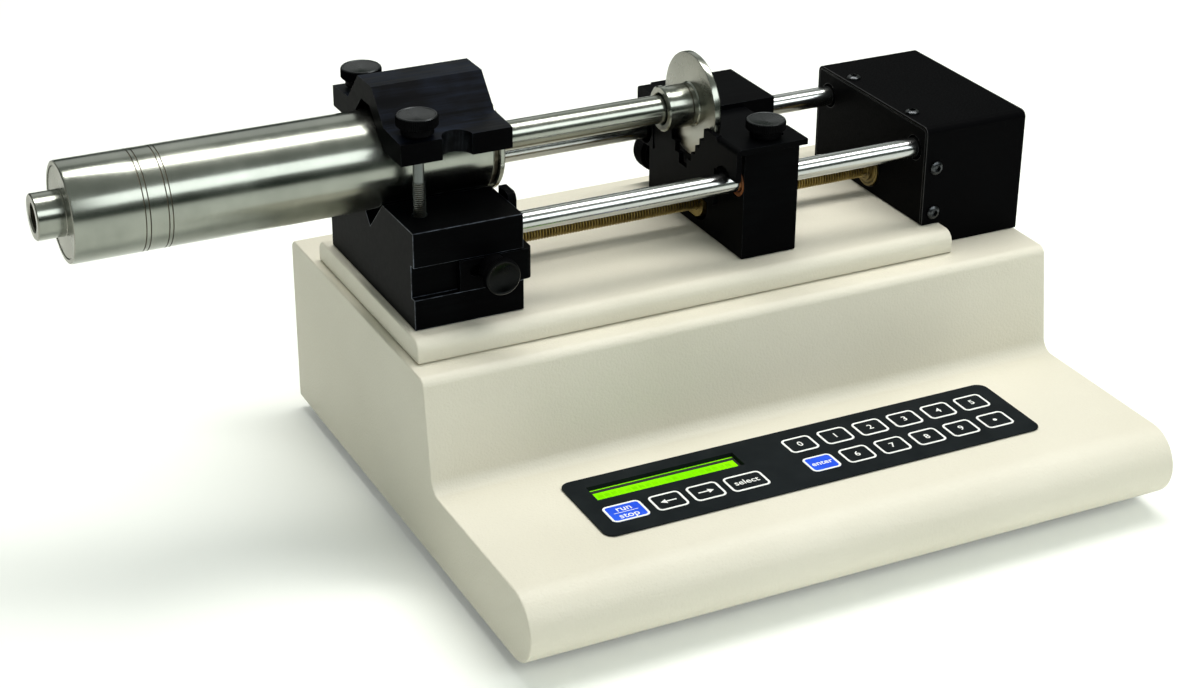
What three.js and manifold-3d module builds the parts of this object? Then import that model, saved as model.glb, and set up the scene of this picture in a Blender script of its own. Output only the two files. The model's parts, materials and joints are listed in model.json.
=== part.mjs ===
// Bench syringe pump holding a stainless steel syringe.
// Millimetres. X runs along the syringe (nozzle at -X), Y runs from the keypad to the back, Z is up.
// The pump is drawn from its own corner (x = 0 at the left panel, y = 0 near the front,
// z = 0 under the housing) and the whole group is then moved so that its origin lies
// at the centre of its base, level with the soles of the feet.
import * as THREE from 'three';
import { mergeVertices } from 'three/addons/utils/BufferGeometryUtils.js';
import Module from 'manifold-3d';

const wasm = await Module();
wasm.setup();

// ---------------------------------------------------------------- driving dimensions
const gap = 0.3; // air left between pieces that touch or slide

const housing = {
  width: 279.4, back: 227.5, top: 73.25, wall: 1.6,
  deskTop: 28.8, wallTopY: 85.0, wallFootY: 78.6, noseCentreY: 5.2,
  edgeRadius: 4, footRadius: 6,
};
housing.noseRadius = housing.deskTop / 2;
housing.front = housing.noseCentreY - housing.noseRadius;

const foot = { height: 6, radius: 8, inset: 26 };

const deck = { left: 3.2, right: 240.8, front: 96.5, back: 202.2, radius: 5 };
deck.bottom = housing.top + gap;
deck.top = 82.9;

const centreY = 149.35; // the syringe, the lead screw and the V blocks share this line

const syringe = {
  z: 136.24, radius: 19.05, bore: 14.3, front: -111.8, back: 50.7,
  noseTip: -121.9, noseRadius: 8.7, noseBore: 5.7, mouth: 17.2,
};

const plunger = {
  radius: 5.8, end: 141.2, pistonFront: -26, pistonLength: 12,
  collarFront: 131.2, collarRadius: 9.2, discFront: 144.7, discBack: 147.7, discRadius: 21.3,
};

const holder = { left: 6.1, right: 50.8, halfWidth: 44, bottom: deck.top + gap, top: 122.8 };
const holderGroove = { bottom: 95.7, top: 108.7, depth: 2.8 };

const clamp = {
  halfWidth: 35.1, earBottom: 146, earTop: 154.4, footHalf: 18.4, footTop: 155.4,
  topHalf: 7, top: 167.7, apexTop: 159.5,
};
const clampScrew = { x: 15.5, offset: 28.3, stud: 2.5, bottom: 104, knobTop: 163.0, knobRadius: 8.0 };
const earNotch = { x: 28.6, radius: 6 };

const rod = { z: 114.6, offset: 33.5, radius: 4.25, left: 22, right: 243.5 };
const screw = { z: 93.8, radius: 3.95, journal: 2.9, left: 38, shoulder: 52, right: 252 };

const pusher = {
  left: 148, right: 172.6, rearRight: 186.3, halfWidth: 40.25, bottom: deck.top + 0.5,
  frontTop: 129.3, rearTop: 131.5, stepY: 152.9, lipY: 175.2, lipBottom: 108, lipDepth: 6.1,
};
const plate = { left: 142.2, thick: 2.2, legTop: 132.0, bottom: 101.8, rear: 174.5, radius: 11 };
const bushing = { outer: 6.3, inner: rod.radius + gap };

const motorBox = {
  left: 231.7, right: 280.1, front: 106.7, back: 192.0, top: 125.9,
  sheet: 1.2, corner: 3,
};
const endPlate = { thick: 3.6 };

const keypad = { left: 44.6, right: 236.4, front: 20.4, back: 62.8, sheet: 0.5, corner: 4.5 };
const keyPitch = 16;
const keyTravel = 0.4;

// ---------------------------------------------------------------- materials
const finish = (color, roughness, metalness) => () => (
  new THREE.MeshStandardMaterial({ color, roughness, metalness })
);
const paint = finish(0xd9d2bf, 0.55, 0);
const blackAnodised = finish(0x17181a, 0.45, 0.3);
const blackPlastic = finish(0x141415, 0.4, 0);
const stainless = finish(0xc9c8c2, 0.3, 1);
const chrome = finish(0xd8dadb, 0.12, 1);
const brass = finish(0x8a6a34, 0.4, 1);
const bronze = finish(0x9a5a2c, 0.45, 1);
const rubber = finish(0x1b1b1b, 0.9, 0);
const steel = finish(0x8d9094, 0.4, 0.9);
const charcoal = finish(0x3a3a3c, 0.5, 0);
const keyBlue = finish(0x2255c8, 0.45, 0);
const displayGreen = finish(0x9bd21c, 0.3, 0);
const boardGreen = finish(0x1f6b3a, 0.5, 0);

// ---------------------------------------------------------------- solids
// A closed three.js geometry becomes a solid that can be cut and joined.
function solid(geometry) {
  const plain = geometry.clone();
  plain.deleteAttribute('normal');
  plain.deleteAttribute('uv');
  const merged = mergeVertices(plain, 1e-4);
  return new wasm.Manifold(new wasm.Mesh({
    numProp: 3,
    vertProperties: Float32Array.from(merged.attributes.position.array),
    triVerts: Uint32Array.from(merged.index.array),
  }));
}

function geometryOf(manifold) {
  const mesh = manifold.getMesh();
  const geometry = new THREE.BufferGeometry();
  geometry.setAttribute('position', new THREE.BufferAttribute(Float32Array.from(mesh.vertProperties), 3));
  geometry.setIndex(new THREE.BufferAttribute(Uint32Array.from(mesh.triVerts), 1));
  geometry.computeVertexNormals();
  return geometry;
}

function box(x0, x1, y0, y1, z0, z1) {
  const geometry = new THREE.BoxGeometry(x1 - x0, y1 - y0, z1 - z0);
  geometry.translate((x0 + x1) / 2, (y0 + y1) / 2, (z0 + z1) / 2);
  return solid(geometry);
}

function extruded(shape, depth, curveSegments) {
  return new THREE.ExtrudeGeometry(shape, { depth, bevelEnabled: false, curveSegments });
}

// An outline drawn in Y and Z, pulled along X.
function prismX(shape, x0, x1, curveSegments = 6) {
  const geometry = extruded(shape, x1 - x0, curveSegments);
  geometry.applyMatrix4(new THREE.Matrix4().set(0, 0, 1, x0, 1, 0, 0, 0, 0, 1, 0, 0, 0, 0, 0, 1));
  return solid(geometry);
}

// An outline drawn in X and Y, pulled along Z.
function prismZ(shape, z0, z1, curveSegments = 4) {
  const geometry = extruded(shape, z1 - z0, curveSegments);
  geometry.translate(0, 0, z0);
  return solid(geometry);
}

function polygon(points) {
  return new THREE.Shape(points.map(([a, b]) => new THREE.Vector2(a, b)));
}

function roundedRect(x0, x1, y0, y1, r) {
  const shape = new THREE.Shape();
  shape.moveTo(x0 + r, y0);
  shape.lineTo(x1 - r, y0);
  shape.absarc(x1 - r, y0 + r, r, -Math.PI / 2, 0);
  shape.lineTo(x1, y1 - r);
  shape.absarc(x1 - r, y1 - r, r, 0, Math.PI / 2);
  shape.lineTo(x0 + r, y1);
  shape.absarc(x0 + r, y1 - r, r, Math.PI / 2, Math.PI);
  shape.lineTo(x0, y0 + r);
  shape.absarc(x0 + r, y0 + r, r, Math.PI, 1.5 * Math.PI);
  return shape;
}

// A turned piece: [radius, distance] pairs that start and end on the axis or close on themselves.
const turnAxis = {
  x: new THREE.Matrix4().makeRotationZ(-Math.PI / 2),
  y: new THREE.Matrix4(),
  z: new THREE.Matrix4().makeRotationX(Math.PI / 2),
};
function turned(axis, profile, [x, y, z], sides = 32) {
  const geometry = new THREE.LatheGeometry(profile.map(([r, d]) => new THREE.Vector2(r, d)), sides);
  geometry.applyMatrix4(turnAxis[axis]);
  geometry.translate(x, y, z);
  return solid(geometry);
}
function cylinder(axis, radius, from, to, [x, y, z], sides = 24) {
  return turned(axis, [[0, from], [radius, from], [radius, to], [0, to]], [x, y, z], sides);
}
function ring(axis, inner, outer, from, to, centre, sides = 32) {
  const profile = [[inner, from], [outer, from], [outer, to], [inner, to], [inner, from]];
  return turned(axis, profile, centre, sides);
}

const pump = new THREE.Group();
function add(name, shape, material) {
  const mesh = new THREE.Mesh(geometryOf(shape), material);
  mesh.name = name;
  pump.add(mesh);
}

// ---------------------------------------------------------------- housing
// The folded outline of the housing, drawn inwards by the wall thickness for its inside.
function housingOutline(inset, bottom) {
  const h = housing;
  const lean = Math.atan2(h.wallTopY - h.wallFootY, h.top - h.deskTop);
  const foldY = (z) => h.wallFootY + (z - h.deskTop) * Math.tan(lean) + inset / Math.cos(lean);
  const top = h.top - inset;
  const desk = h.deskTop - inset;
  const back = h.back - inset;
  const outerRadius = Math.max(h.edgeRadius - inset, 1);
  const innerRadius = h.footRadius + inset;
  const nose = h.noseRadius - inset;
  const shape = new THREE.Shape();
  shape.moveTo(back, bottom);
  shape.lineTo(back, top - outerRadius);
  shape.absarc(back - outerRadius, top - outerRadius, outerRadius, 0, Math.PI / 2);
  const cornerY = foldY(top) + outerRadius * Math.tan(Math.PI / 4 - lean / 2);
  shape.lineTo(cornerY, top);
  shape.absarc(cornerY, top - outerRadius, outerRadius, Math.PI / 2, Math.PI - lean);
  const footY = foldY(desk) - innerRadius * Math.tan(Math.PI / 4 - lean / 2);
  shape.absarc(footY, desk + innerRadius, innerRadius, -lean, -Math.PI / 2, true);
  shape.lineTo(h.noseCentreY, desk);
  shape.absarc(h.noseCentreY, h.noseRadius, nose, Math.PI / 2, 1.5 * Math.PI);
  shape.lineTo(h.noseCentreY, bottom);
  return shape;
}

const displayWindow = { left: 53.2, right: 115.9, front: 45.8, back: 56.0 };

function housingShell() {
  const { width, wall, deskTop, back } = housing;
  const outside = prismX(housingOutline(0, 0), 0, width, 8);
  const inside = prismX(housingOutline(wall, -1), wall, width - wall, 8);
  const { left, right } = keypad;
  const keypadHole = box(left + 3, right - 3, keypad.front + 3, keypad.back - 3, deskTop - 4, deskTop + 1);
  const inletHole = box(inlet.x - inlet.halfWidth, inlet.x + inlet.halfWidth, back - 4, back + 1,
    inlet.z - inlet.halfHeight, inlet.z + inlet.halfHeight);
  const switchHole = box(rocker.x - rocker.halfWidth, rocker.x + rocker.halfWidth, back - 4, back + 1,
    rocker.z - rocker.halfHeight, rocker.z + rocker.halfHeight);
  const dataHole = box(data.x - data.halfWidth, data.x + data.halfWidth, back - 4, back + 1,
    data.z - data.halfHeight, data.z + data.halfHeight);
  const shell = outside.subtract(inside).subtract(keypadHole);
  return shell.subtract(inletHole).subtract(switchHole).subtract(dataHole);
}

function basePlate() {
  const { width, wall, back, noseCentreY } = housing;
  const side = wall + gap;
  return box(side, width - side, noseCentreY + gap, back - side, 0.1, 2.1);
}

function footAt(x, y) {
  const profile = [[0, -foot.height], [foot.radius - 1, -foot.height], [foot.radius, -foot.height + 1],
    [foot.radius - 1, 0.1 - gap], [0, 0.1 - gap]];
  return turned('z', profile, [x, y, 0], 24);
}

function deckPlate() {
  const { front, back, bottom, top, radius } = deck;
  const shape = new THREE.Shape();
  shape.moveTo(front, bottom);
  shape.lineTo(back, bottom);
  shape.lineTo(back, top - radius);
  shape.absarc(back - radius, top - radius, radius, 0, Math.PI / 2);
  shape.lineTo(front + radius, top);
  shape.absarc(front + radius, top - radius, radius, Math.PI / 2, Math.PI);
  return prismX(shape, deck.left, deck.right, 6);
}

// ---------------------------------------------------------------- rear panel pieces
const inlet = { x: 236, z: 34, halfWidth: 13.5, halfHeight: 10, depth: 18 };
const rocker = { x: 200, z: 34, halfWidth: 6.6, halfHeight: 9.8, depth: 12 };
const data = { x: 166, z: 34, halfWidth: 7.4, halfHeight: 6.6, depth: 14 };
const flangeThick = 1.6;

function panelFlange(part, margin) {
  const y = housing.back + gap;
  return box(part.x - part.halfWidth - margin, part.x + part.halfWidth + margin, y, y + flangeThick,
    part.z - part.halfHeight - margin, part.z + part.halfHeight + margin);
}
function panelBody(part) {
  const y = housing.back + gap + 0.1;
  return box(part.x - part.halfWidth + gap, part.x + part.halfWidth - gap, y - part.depth, y,
    part.z - part.halfHeight + gap, part.z + part.halfHeight - gap);
}
// A hole in a panel piece, given by half its width, half its height and its depth from the panel.
function panelHole(part, halfWidth, halfHeight, depth) {
  const { x, z } = part;
  const [inner, outer] = [housing.back - depth, housing.back + 5];
  return box(x - halfWidth, x + halfWidth, inner, outer, z - halfHeight, z + halfHeight);
}
function powerInlet() {
  const mouth = panelHole(inlet, 10, 7, 12);
  let socket = panelFlange(inlet, 2.5).add(panelBody(inlet)).subtract(mouth);
  const bladeY = housing.back - 13;
  for (const [dx, dz] of [[-5, -1.5], [0, 2.5], [5, -1.5]]) {
    const [x, z] = [inlet.x + dx, inlet.z + dz];
    const pin = box(x - 0.9, x + 0.9, bladeY, housing.back - 2, z - 2, z + 2);
    socket = socket.add(pin);
  }
  return socket;
}
function switchFrame() {
  return panelFlange(rocker, 1.6).add(panelBody(rocker)).subtract(panelHole(rocker, 5.2, 8.4, 8.5));
}
// The rocker turns about X near its back edge. Its face is a shallow V, drawn level and then
// tipped to the position in which its upper half is pressed in.
const rockerTilt = THREE.MathUtils.degToRad(9);
const rockerPivot = { y: housing.back - 3, z: rocker.z };
function switchRocker() {
  const halfFace = [[5.5, 7.2], [1.5, 7.4], [-2.5, 3]];
  const outline = [[4.4, 0], ...halfFace, ...halfFace.map(([y, z]) => [y, -z]).reverse()];
  const tipped = outline.map(([y, z]) => [
    rockerPivot.y + y * Math.cos(rockerTilt) - z * Math.sin(rockerTilt),
    rockerPivot.z + y * Math.sin(rockerTilt) + z * Math.cos(rockerTilt),
  ]);
  return prismX(polygon(tipped), rocker.x - 4.8, rocker.x + 4.8);
}
function dataSocket() {
  const [inner, outer] = [housing.back - 11, housing.back + 5];
  const mouth = box(data.x - 5, data.x + 5, inner, outer, data.z - 3.4, data.z + 4);
  const latch = box(data.x - 2, data.x + 2, inner, outer, data.z - 5.4, data.z - 3.3);
  return panelFlange(data, 1.2).add(panelBody(data)).subtract(mouth.add(latch));
}

// ---------------------------------------------------------------- keypad and display
const padTop = housing.deskTop + gap + keypad.sheet;
const keyRows = { back: 50.4, front: 34.2 };
const numberColumn = 143.2;
const keys = [
  { name: 'key_run', x: 59.1, y: keyRows.front, w: 15.6, d: 11.8, blue: true },
  { name: 'key_left', x: 76.8, y: keyRows.front, w: 13.2, d: 11.2 },
  { name: 'key_right', x: 92.7, y: keyRows.front, w: 13.2, d: 11.2 },
  { name: 'key_select', x: 110.1, y: keyRows.front, w: 16.2, d: 11.2 },
];
const numberKey = { w: 12.6, d: 11.0 };
for (let digit = 0; digit < 6; digit += 1) {
  keys.push({ ...numberKey, name: `key_${digit}`, x: numberColumn + digit * keyPitch, y: keyRows.back });
}
['enter', 6, 7, 8, 9, 'point'].forEach((label, column) => {
  const x = numberColumn + column * keyPitch;
  keys.push({ ...numberKey, name: `key_${label}`, x, y: keyRows.front, blue: label === 'enter' });
});

function keyOutline(key, margin) {
  const halfW = key.w / 2 + margin;
  const halfD = key.d / 2 + margin;
  return roundedRect(key.x - halfW, key.x + halfW, key.y - halfD, key.y + halfD, 2.2 + margin);
}
// The display window grown sideways, to the front and to the back, between two heights.
function windowBlock(side, toFront, toBack, z0, z1) {
  const w = displayWindow;
  return box(w.left - side, w.right + side, w.front - toFront, w.back + toBack, z0, z1);
}
// The overlay: a thin sheet that laps the panel, with a frame below it that drops into the panel's hole.
function keypadOverlay() {
  const { left, right, front, back, corner } = keypad;
  const sheet = prismZ(roundedRect(left, right, front, back, corner), housing.deskTop + gap, padTop, 4);
  const lip = 3 + gap;
  const frame = box(left + lip, right - lip, front + lip, back - lip, housing.deskTop - 1.2, padTop - 0.2);
  let overlay = sheet.add(frame);
  overlay = overlay.subtract(windowBlock(0, 0, 0, housing.deskTop - 3, padTop + 1));
  for (const key of keys) {
    overlay = overlay.subtract(prismZ(keyOutline(key, gap), housing.deskTop - 3, padTop + 1, 2));
  }
  return overlay;
}
function keyCap(key) {
  return prismZ(keyOutline(key, 0), housing.deskTop - 0.8, padTop, 2);
}
// The board under the keys carries the switches and everything else that runs the motor.
const board = { top: housing.deskTop - 0.8 - keyTravel - 0.4, thick: 1.6 };
function switchBoard() {
  const { left, right, front, back } = keypad;
  const sheet = box(left + 4, right - 4, front + 4, back - 4, board.top - board.thick, board.top);
  return sheet.subtract(windowBlock(2, 1.2, 1, board.top - 5, board.top + 2));
}
function displayModule() {
  const { deskTop } = housing;
  const glass = windowBlock(-gap, -gap, -gap, deskTop - 1.6, deskTop - 0.9);
  return glass.add(windowBlock(1.6, 0.8, 0.6, deskTop - 9, deskTop - 1.5));
}
function controlBoard() {
  const sheet = box(60, 190, 110, 200, 12, 13.6);
  const chip = box(100, 125, 140, 160, 13.5, 17);
  const transformer = box(140, 180, 120, 155, 13.5, 45);
  const capacitor = cylinder('z', 8, 13.5, 40, [85, 180, 0], 20);
  return sheet.add(chip).add(transformer).add(capacitor);
}

// ---------------------------------------------------------------- syringe holder
const rodCentres = [[0, centreY - rod.offset, rod.z], [0, centreY + rod.offset, rod.z]];
const clampScrews = [
  { name: 'clamp_screw_front', y: centreY - clampScrew.offset },
  { name: 'clamp_screw_rear', y: centreY + clampScrew.offset },
];
const vReach = (syringe.radius + gap) * Math.SQRT2; // depth of a right-angled V below the barrel's centre

function studHole(y, z0, z1) {
  return cylinder('z', clampScrew.stud + gap, z0, z1, [clampScrew.x, y, 0], 24);
}
function holderBlock() {
  const front = centreY - holder.halfWidth;
  const back = centreY + holder.halfWidth;
  const valley = syringe.z - vReach;
  const half = holder.top + 1 - valley;
  let block = box(holder.left, holder.right, front, back, holder.bottom, holder.top);
  const rim = valley + half;
  const vee = polygon([[centreY, valley], [centreY + half, rim], [centreY - half, rim]]);
  block = block.subtract(prismX(vee, holder.left - 1, holder.right + 1));
  block = block.subtract(box(holder.left - 1, holder.right + 1, front - 1, front + holderGroove.depth,
    holderGroove.bottom, holderGroove.top));
  for (const centre of rodCentres) {
    block = block.subtract(cylinder('x', rod.radius + 0.1, rod.left - 0.5, holder.right + 1, centre));
  }
  for (const { y } of clampScrews) {
    block = block.subtract(studHole(y, clampScrew.bottom - 1, holder.top + 1));
  }
  const journalEnd = [screw.left - 0.5, holder.right + 1];
  block = block.subtract(cylinder('x', screw.journal + 0.1, ...journalEnd, [0, centreY, screw.z], 24));
  return block.subtract(cylinder('y', 2.3, front - 1, front + 16, [retainerKnob.x, 0, retainerKnob.z], 20));
}

// The clamp is one extrusion: two ears, a roof and a V underneath.
function clampBar() {
  const c = clamp;
  const apex = syringe.z + vReach;
  const ear = [[c.halfWidth, c.earBottom], [c.halfWidth, c.earTop]];
  const half = [...ear, [c.footHalf, c.footTop], [c.topHalf, c.top]];
  const under = [[apex - c.apexTop, c.apexTop], [apex - c.earBottom, c.earBottom]];
  const right = half.map(([y, z]) => [centreY + y, z]);
  const left = half.map(([y, z]) => [centreY - y, z]).reverse();
  const underLeft = under.map(([y, z]) => [centreY - y, z]).reverse();
  const underRight = under.map(([y, z]) => [centreY + y, z]);
  let bar = prismX(polygon([...right, ...left, ...underLeft, ...underRight]), holder.left, holder.right);
  for (const { y } of clampScrews) {
    bar = bar.subtract(studHole(y, c.earBottom - 1, c.top));
  }
  for (const side of [-1, 1]) {
    const centre = [earNotch.x, centreY + side * c.halfWidth, 0];
    bar = bar.subtract(cylinder('z', earNotch.radius, c.earBottom - 1, c.top, centre, 32));
  }
  return bar;
}

// A thumb screw: a long stud, a narrow hub and a dished head.
function thumbScrew({ y }) {
  const { knobTop, knobRadius, stud, bottom, x } = clampScrew;
  const seat = clamp.earTop + gap + 0.9;
  const profile = [[0, bottom], [stud - 1, bottom], [stud, bottom + 1.5], [stud, seat],
    [knobRadius - 1.7, seat],
    [knobRadius - 1.7, knobTop - 5], [knobRadius, knobTop - 4.4], [knobRadius, knobTop - 0.8],
    [knobRadius - 1, knobTop], [0, knobTop - 1.4]];
  return turned('z', profile, [x, y, 0], 24);
}

// The plate behind the barrel's flange is bent from one strip: a leg in the block's front
// groove and a plate with a stepped V across the block's right face.
const steps = { count: 5, width: 3.0 };
function steppedV(halfTop, top, fall, above) {
  const points = [[centreY + halfTop, above]];
  for (let i = 0; i < steps.count; i += 1) {
    const reach = halfTop * (1 - i / steps.count);
    points.push([centreY + reach, top - i * fall]);
    points.push([centreY + reach, top - (i + 1) * fall]);
  }
  const mirrored = points.map(([y, z]) => [2 * centreY - y, z]).reverse();
  return polygon([...points, ...mirrored]);
}
const barrelPlate = { left: 51.1, right: 54.4, top: 125.3, bottom: 95.2, rear: 177.4, prong: 119.3 };
const retainerKnob = { x: 37.5, z: 103.6, radius: 7.2, front: 94 };
function barrelRetainer() {
  const front = centreY - holder.halfWidth - 0.4;
  const legBack = front + holderGroove.depth + 0.4 - gap;
  const legTop = holderGroove.top - gap;
  const leg = box(24.5, barrelPlate.right, front, legBack, holderGroove.bottom + gap, legTop);
  const outline = new THREE.Shape();
  const { top, bottom, rear, left, right, prong } = barrelPlate;
  outline.moveTo(front, bottom);
  outline.lineTo(rear - 10, bottom);
  outline.absarc(rear - 10, bottom + 10, 10, -Math.PI / 2, 0);
  outline.lineTo(rear, top - 3);
  outline.absarc(rear - 3, top - 3, 3, 0, Math.PI / 2);
  outline.lineTo(prong + 3, top);
  outline.absarc(prong + 3, top - 3, 3, Math.PI / 2, Math.PI);
  outline.lineTo(prong, legTop);
  outline.lineTo(front, legTop);
  let bracket = leg.add(prismX(outline, left, right, 4));
  bracket = bracket.subtract(prismX(steppedV(20.5, top - 1.5, 3.6, top + 1), left - 1, right + 1));
  bracket = bracket.subtract(cylinder('x', rod.radius + 0.8, left - 1, right + 1, rodCentres[0]));
  bracket = bracket.subtract(cylinder('x', screw.radius + 3, left - 1, right + 1, [0, centreY, screw.z]));
  const slot = box(28.4, 39.6, front - 1, legBack + 1, retainerKnob.z - 2.4, retainerKnob.z + 2.4);
  return bracket.subtract(slot);
}
function barrelRetainerKnob() {
  const { radius, front, x, z } = retainerKnob;
  const seat = centreY - holder.halfWidth - 0.4 - gap;
  const profile = [[0, front + 1.2], [radius - 0.9, front], [radius, front + 0.7], [radius, front + 4.2],
    [radius - 1.6, front + 4.8], [radius - 1.6, seat], [2, seat], [2, seat + 15], [0, seat + 15]];
  return turned('y', profile, [x, 0, z], 24);
}

// ---------------------------------------------------------------- syringe
const syringeLine = [0, centreY, syringe.z];
function syringeBarrel() {
  const { radius, bore, front, back, mouth } = syringe;
  const profile = [[mouth, front], [radius - 0.6, front], [radius, front + 0.6], [radius, back - 0.4],
    [radius - 0.4, back], [bore, back], [bore, front + 9.5], [mouth, front + 9.5], [mouth, front]];
  return turned('x', profile, syringeLine, 48);
}
function frontCap() {
  const { front, mouth, noseTip, noseRadius, noseBore } = syringe;
  const outer = mouth - gap;
  const profile = [[noseBore, noseTip], [noseRadius - 0.5, noseTip], [noseRadius, noseTip + 0.5],
    [noseRadius, front + 0.3], [outer, front + 0.3], [outer, front + 9.2],
    [1.5, front + 9.2], [1.5, noseTip + 13], [noseBore, noseTip + 9.5], [noseBore, noseTip]];
  return turned('x', profile, syringeLine, 32);
}
// The barrel's end cap: a plug, a dark waist and a thin flange, bored for the plunger rod.
function barrelEndCap() {
  const { bore, back, radius } = syringe;
  const hole = plunger.radius + gap;
  const profile = [[hole, back - 8], [bore - gap, back - 8], [bore - gap, back + 0.1],
    [radius - 1.6, back + gap], [radius - 1.6, back + 1.9], [radius + 0.1, back + 2.1],
    [radius + 0.1, back + 4], [radius - 0.3, back + 4.3], [hole, back + 4.3], [hole, back - 8]];
  return turned('x', profile, syringeLine, 36);
}
function pistonHead() {
  const { pistonFront, pistonLength } = plunger;
  const r = syringe.bore - gap;
  const end = pistonFront + pistonLength;
  const profile = [[0, pistonFront], [r - 1, pistonFront], [r, pistonFront + 1], [r, end], [0, end]];
  return turned('x', profile, syringeLine, 32);
}
function plungerRod() {
  const { radius, pistonFront, pistonLength, end } = plunger;
  return cylinder('x', radius, pistonFront + pistonLength + gap, end - gap, syringeLine, 28);
}
function plungerFlange() {
  const { collarFront, collarRadius, discFront, discBack, discRadius, radius, end } = plunger;
  const hole = radius + gap;
  const profile = [[hole, collarFront], [collarRadius - 1.1, collarFront],
    [collarRadius, collarFront + 1.1], [collarRadius, discFront],
    [discRadius - 0.4, discFront], [discRadius, discFront + 0.4],
    [discRadius, discBack], [0, discBack], [0, end], [hole, end], [hole, collarFront]];
  return turned('x', profile, syringeLine, 48);
}

// ---------------------------------------------------------------- guide rods and lead screw
function guideRod(centre) {
  return cylinder('x', rod.radius, rod.left, rod.right, centre, 28);
}
const screwLine = [0, centreY, screw.z];
function leadScrew() {
  const { radius, journal, left, shoulder, right } = screw;
  const thread = motorBox.left - 4;
  const profile = [[0, left], [journal, left], [journal, shoulder], [radius, shoulder + 0.6],
    [radius, thread], [journal, thread + 0.6], [journal, right], [0, right]];
  return turned('x', profile, screwLine, 24);
}

// ---------------------------------------------------------------- pusher
// The half nut is a ring with a long hole: its front half fits the screw, and pressing the knob
// at the back slides it forwards until the screw stands clear in the rear of the hole.
const halfNut = { radius: 7, room: 4, travel: 3.5 };
function longHole(radius, from, to) {
  const shape = new THREE.Shape();
  shape.moveTo(from, screw.z - radius);
  shape.lineTo(to, screw.z - radius);
  shape.absarc(to, screw.z, radius, -Math.PI / 2, Math.PI / 2);
  shape.lineTo(from, screw.z + radius);
  shape.absarc(from, screw.z, radius, Math.PI / 2, 1.5 * Math.PI);
  return shape;
}
function pusherBlock() {
  const p = pusher;
  const front = centreY - p.halfWidth;
  const back = centreY + p.halfWidth;
  let block = box(p.left, p.right, front, back, p.bottom, p.frontTop);
  block = block.add(box(p.left, p.rearRight, p.stepY, back, p.bottom, p.rearTop));
  const lip = new THREE.Shape();
  lip.moveTo(p.lipY, p.lipBottom);
  lip.lineTo(back, p.lipBottom);
  lip.lineTo(back, p.rearTop - 2);
  lip.absarc(back - 2, p.rearTop - 2, 2, 0, Math.PI / 2);
  lip.lineTo(p.lipY, p.rearTop);
  block = block.add(prismX(lip, p.left - p.lipDepth, p.left + 1, 3));
  for (const centre of rodCentres) {
    block = block.subtract(cylinder('x', bushing.outer + 0.1, p.left - 8, p.rearRight + 1, centre, 24));
  }
  block = block.subtract(cylinder('x', screw.radius + 1.4, p.left - 1, p.rearRight + 1, screwLine, 24));
  const slot = longHole(halfNut.radius + 0.4, centreY - halfNut.travel, centreY + halfNut.room);
  block = block.subtract(prismX(slot, p.left - 1, p.right + 1, 6));
  const stem = [releaseButton.x, 0, releaseButton.z];
  block = block.subtract(cylinder('y', releaseButton.stem + gap, centreY + 7, back + 1, stem, 20));
  return block.subtract(cylinder('z', 2.3, 121.3, p.rearTop, [plateKnob.x, plateKnob.y, 0], 20));
}
function rodBush(centre, right) {
  return ring('x', bushing.inner, bushing.outer, pusher.left + 0.2, right - 0.2, centre, 24);
}
function halfNutRing() {
  const outside = longHole(halfNut.radius, centreY, centreY + halfNut.room);
  const hole = longHole(screw.radius + gap, centreY, centreY + halfNut.room);
  const { left, right } = pusher;
  return prismX(outside, left + 0.2, right - 0.2, 6).subtract(prismX(hole, left - 1, right + 1, 6));
}
const releaseButton = { x: 155.5, z: 97, stem: 3, radius: 9, front: 190.6, back: 202.6 };
function releaseKnob() {
  const { x, z, stem, radius, front, back } = releaseButton;
  const stemStart = centreY + halfNut.room + halfNut.radius + gap;
  const neck = front + halfNut.travel;
  const profile = [[0, stemStart], [stem, stemStart], [stem, neck],
    [radius - 2, neck], [radius - 2, neck + 1], [radius, neck + 1.6],
    [radius, back - 0.8], [radius - 0.8, back], [0, back - 0.6]];
  return turned('y', profile, [x, 0, z], 28);
}

// The plunger flange is held by a bent plate: a leg over the pusher, clamped by a knob, and a
// plate with a stepped V in front of the flange.
const plateKnob = { x: 160.4, y: 115.2, radius: 8.0, top: 139.2 };
function plungerRetainer() {
  const p = plate;
  const right = p.left + p.thick;
  const front = 106.2;
  const legBottom = pusher.frontTop + gap;
  const outline = new THREE.Shape();
  outline.moveTo(front, 118.6);
  outline.lineTo(centreY - rod.offset + 7.5, 118.6);
  outline.lineTo(centreY - rod.offset + 7.5, p.bottom);
  outline.lineTo(p.rear - p.radius, p.bottom);
  outline.absarc(p.rear - p.radius, p.bottom + p.radius, p.radius, -Math.PI / 2, 0);
  outline.lineTo(p.rear, 124);
  outline.lineTo(p.rear - 8, 130);
  outline.lineTo(centreY - 20, p.legTop);
  outline.lineTo(front, p.legTop);
  let bracket = prismX(outline, p.left, right, 5);
  bracket = bracket.subtract(prismX(steppedV(16.8, 130.6, 4.1, p.legTop + 1), p.left - 1, right + 1));
  bracket = bracket.subtract(cylinder('x', 7.2, p.left - 1, right + 1, rodCentres[0], 28));
  const leg = box(p.left + 0.4, 174.2, 105.4, 121.6, legBottom, p.legTop);
  const { x, y } = plateKnob;
  const slot = box(x - 2.4, x + 8, y - 2.4, y + 2.4, legBottom - 1, p.legTop + 1);
  return bracket.add(leg).subtract(slot);
}
function plungerRetainerKnob() {
  const { x, y, radius, top } = plateKnob;
  const seat = plate.legTop + gap;
  const profile = [[0, 121.9], [2, 121.9], [2, seat], [radius - 1.6, seat], [radius - 1.6, top - 4.6],
    [radius, top - 4], [radius, top - 0.7], [radius - 0.9, top], [0, top - 1.2]];
  return turned('z', profile, [x, y, 0], 24);
}

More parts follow.
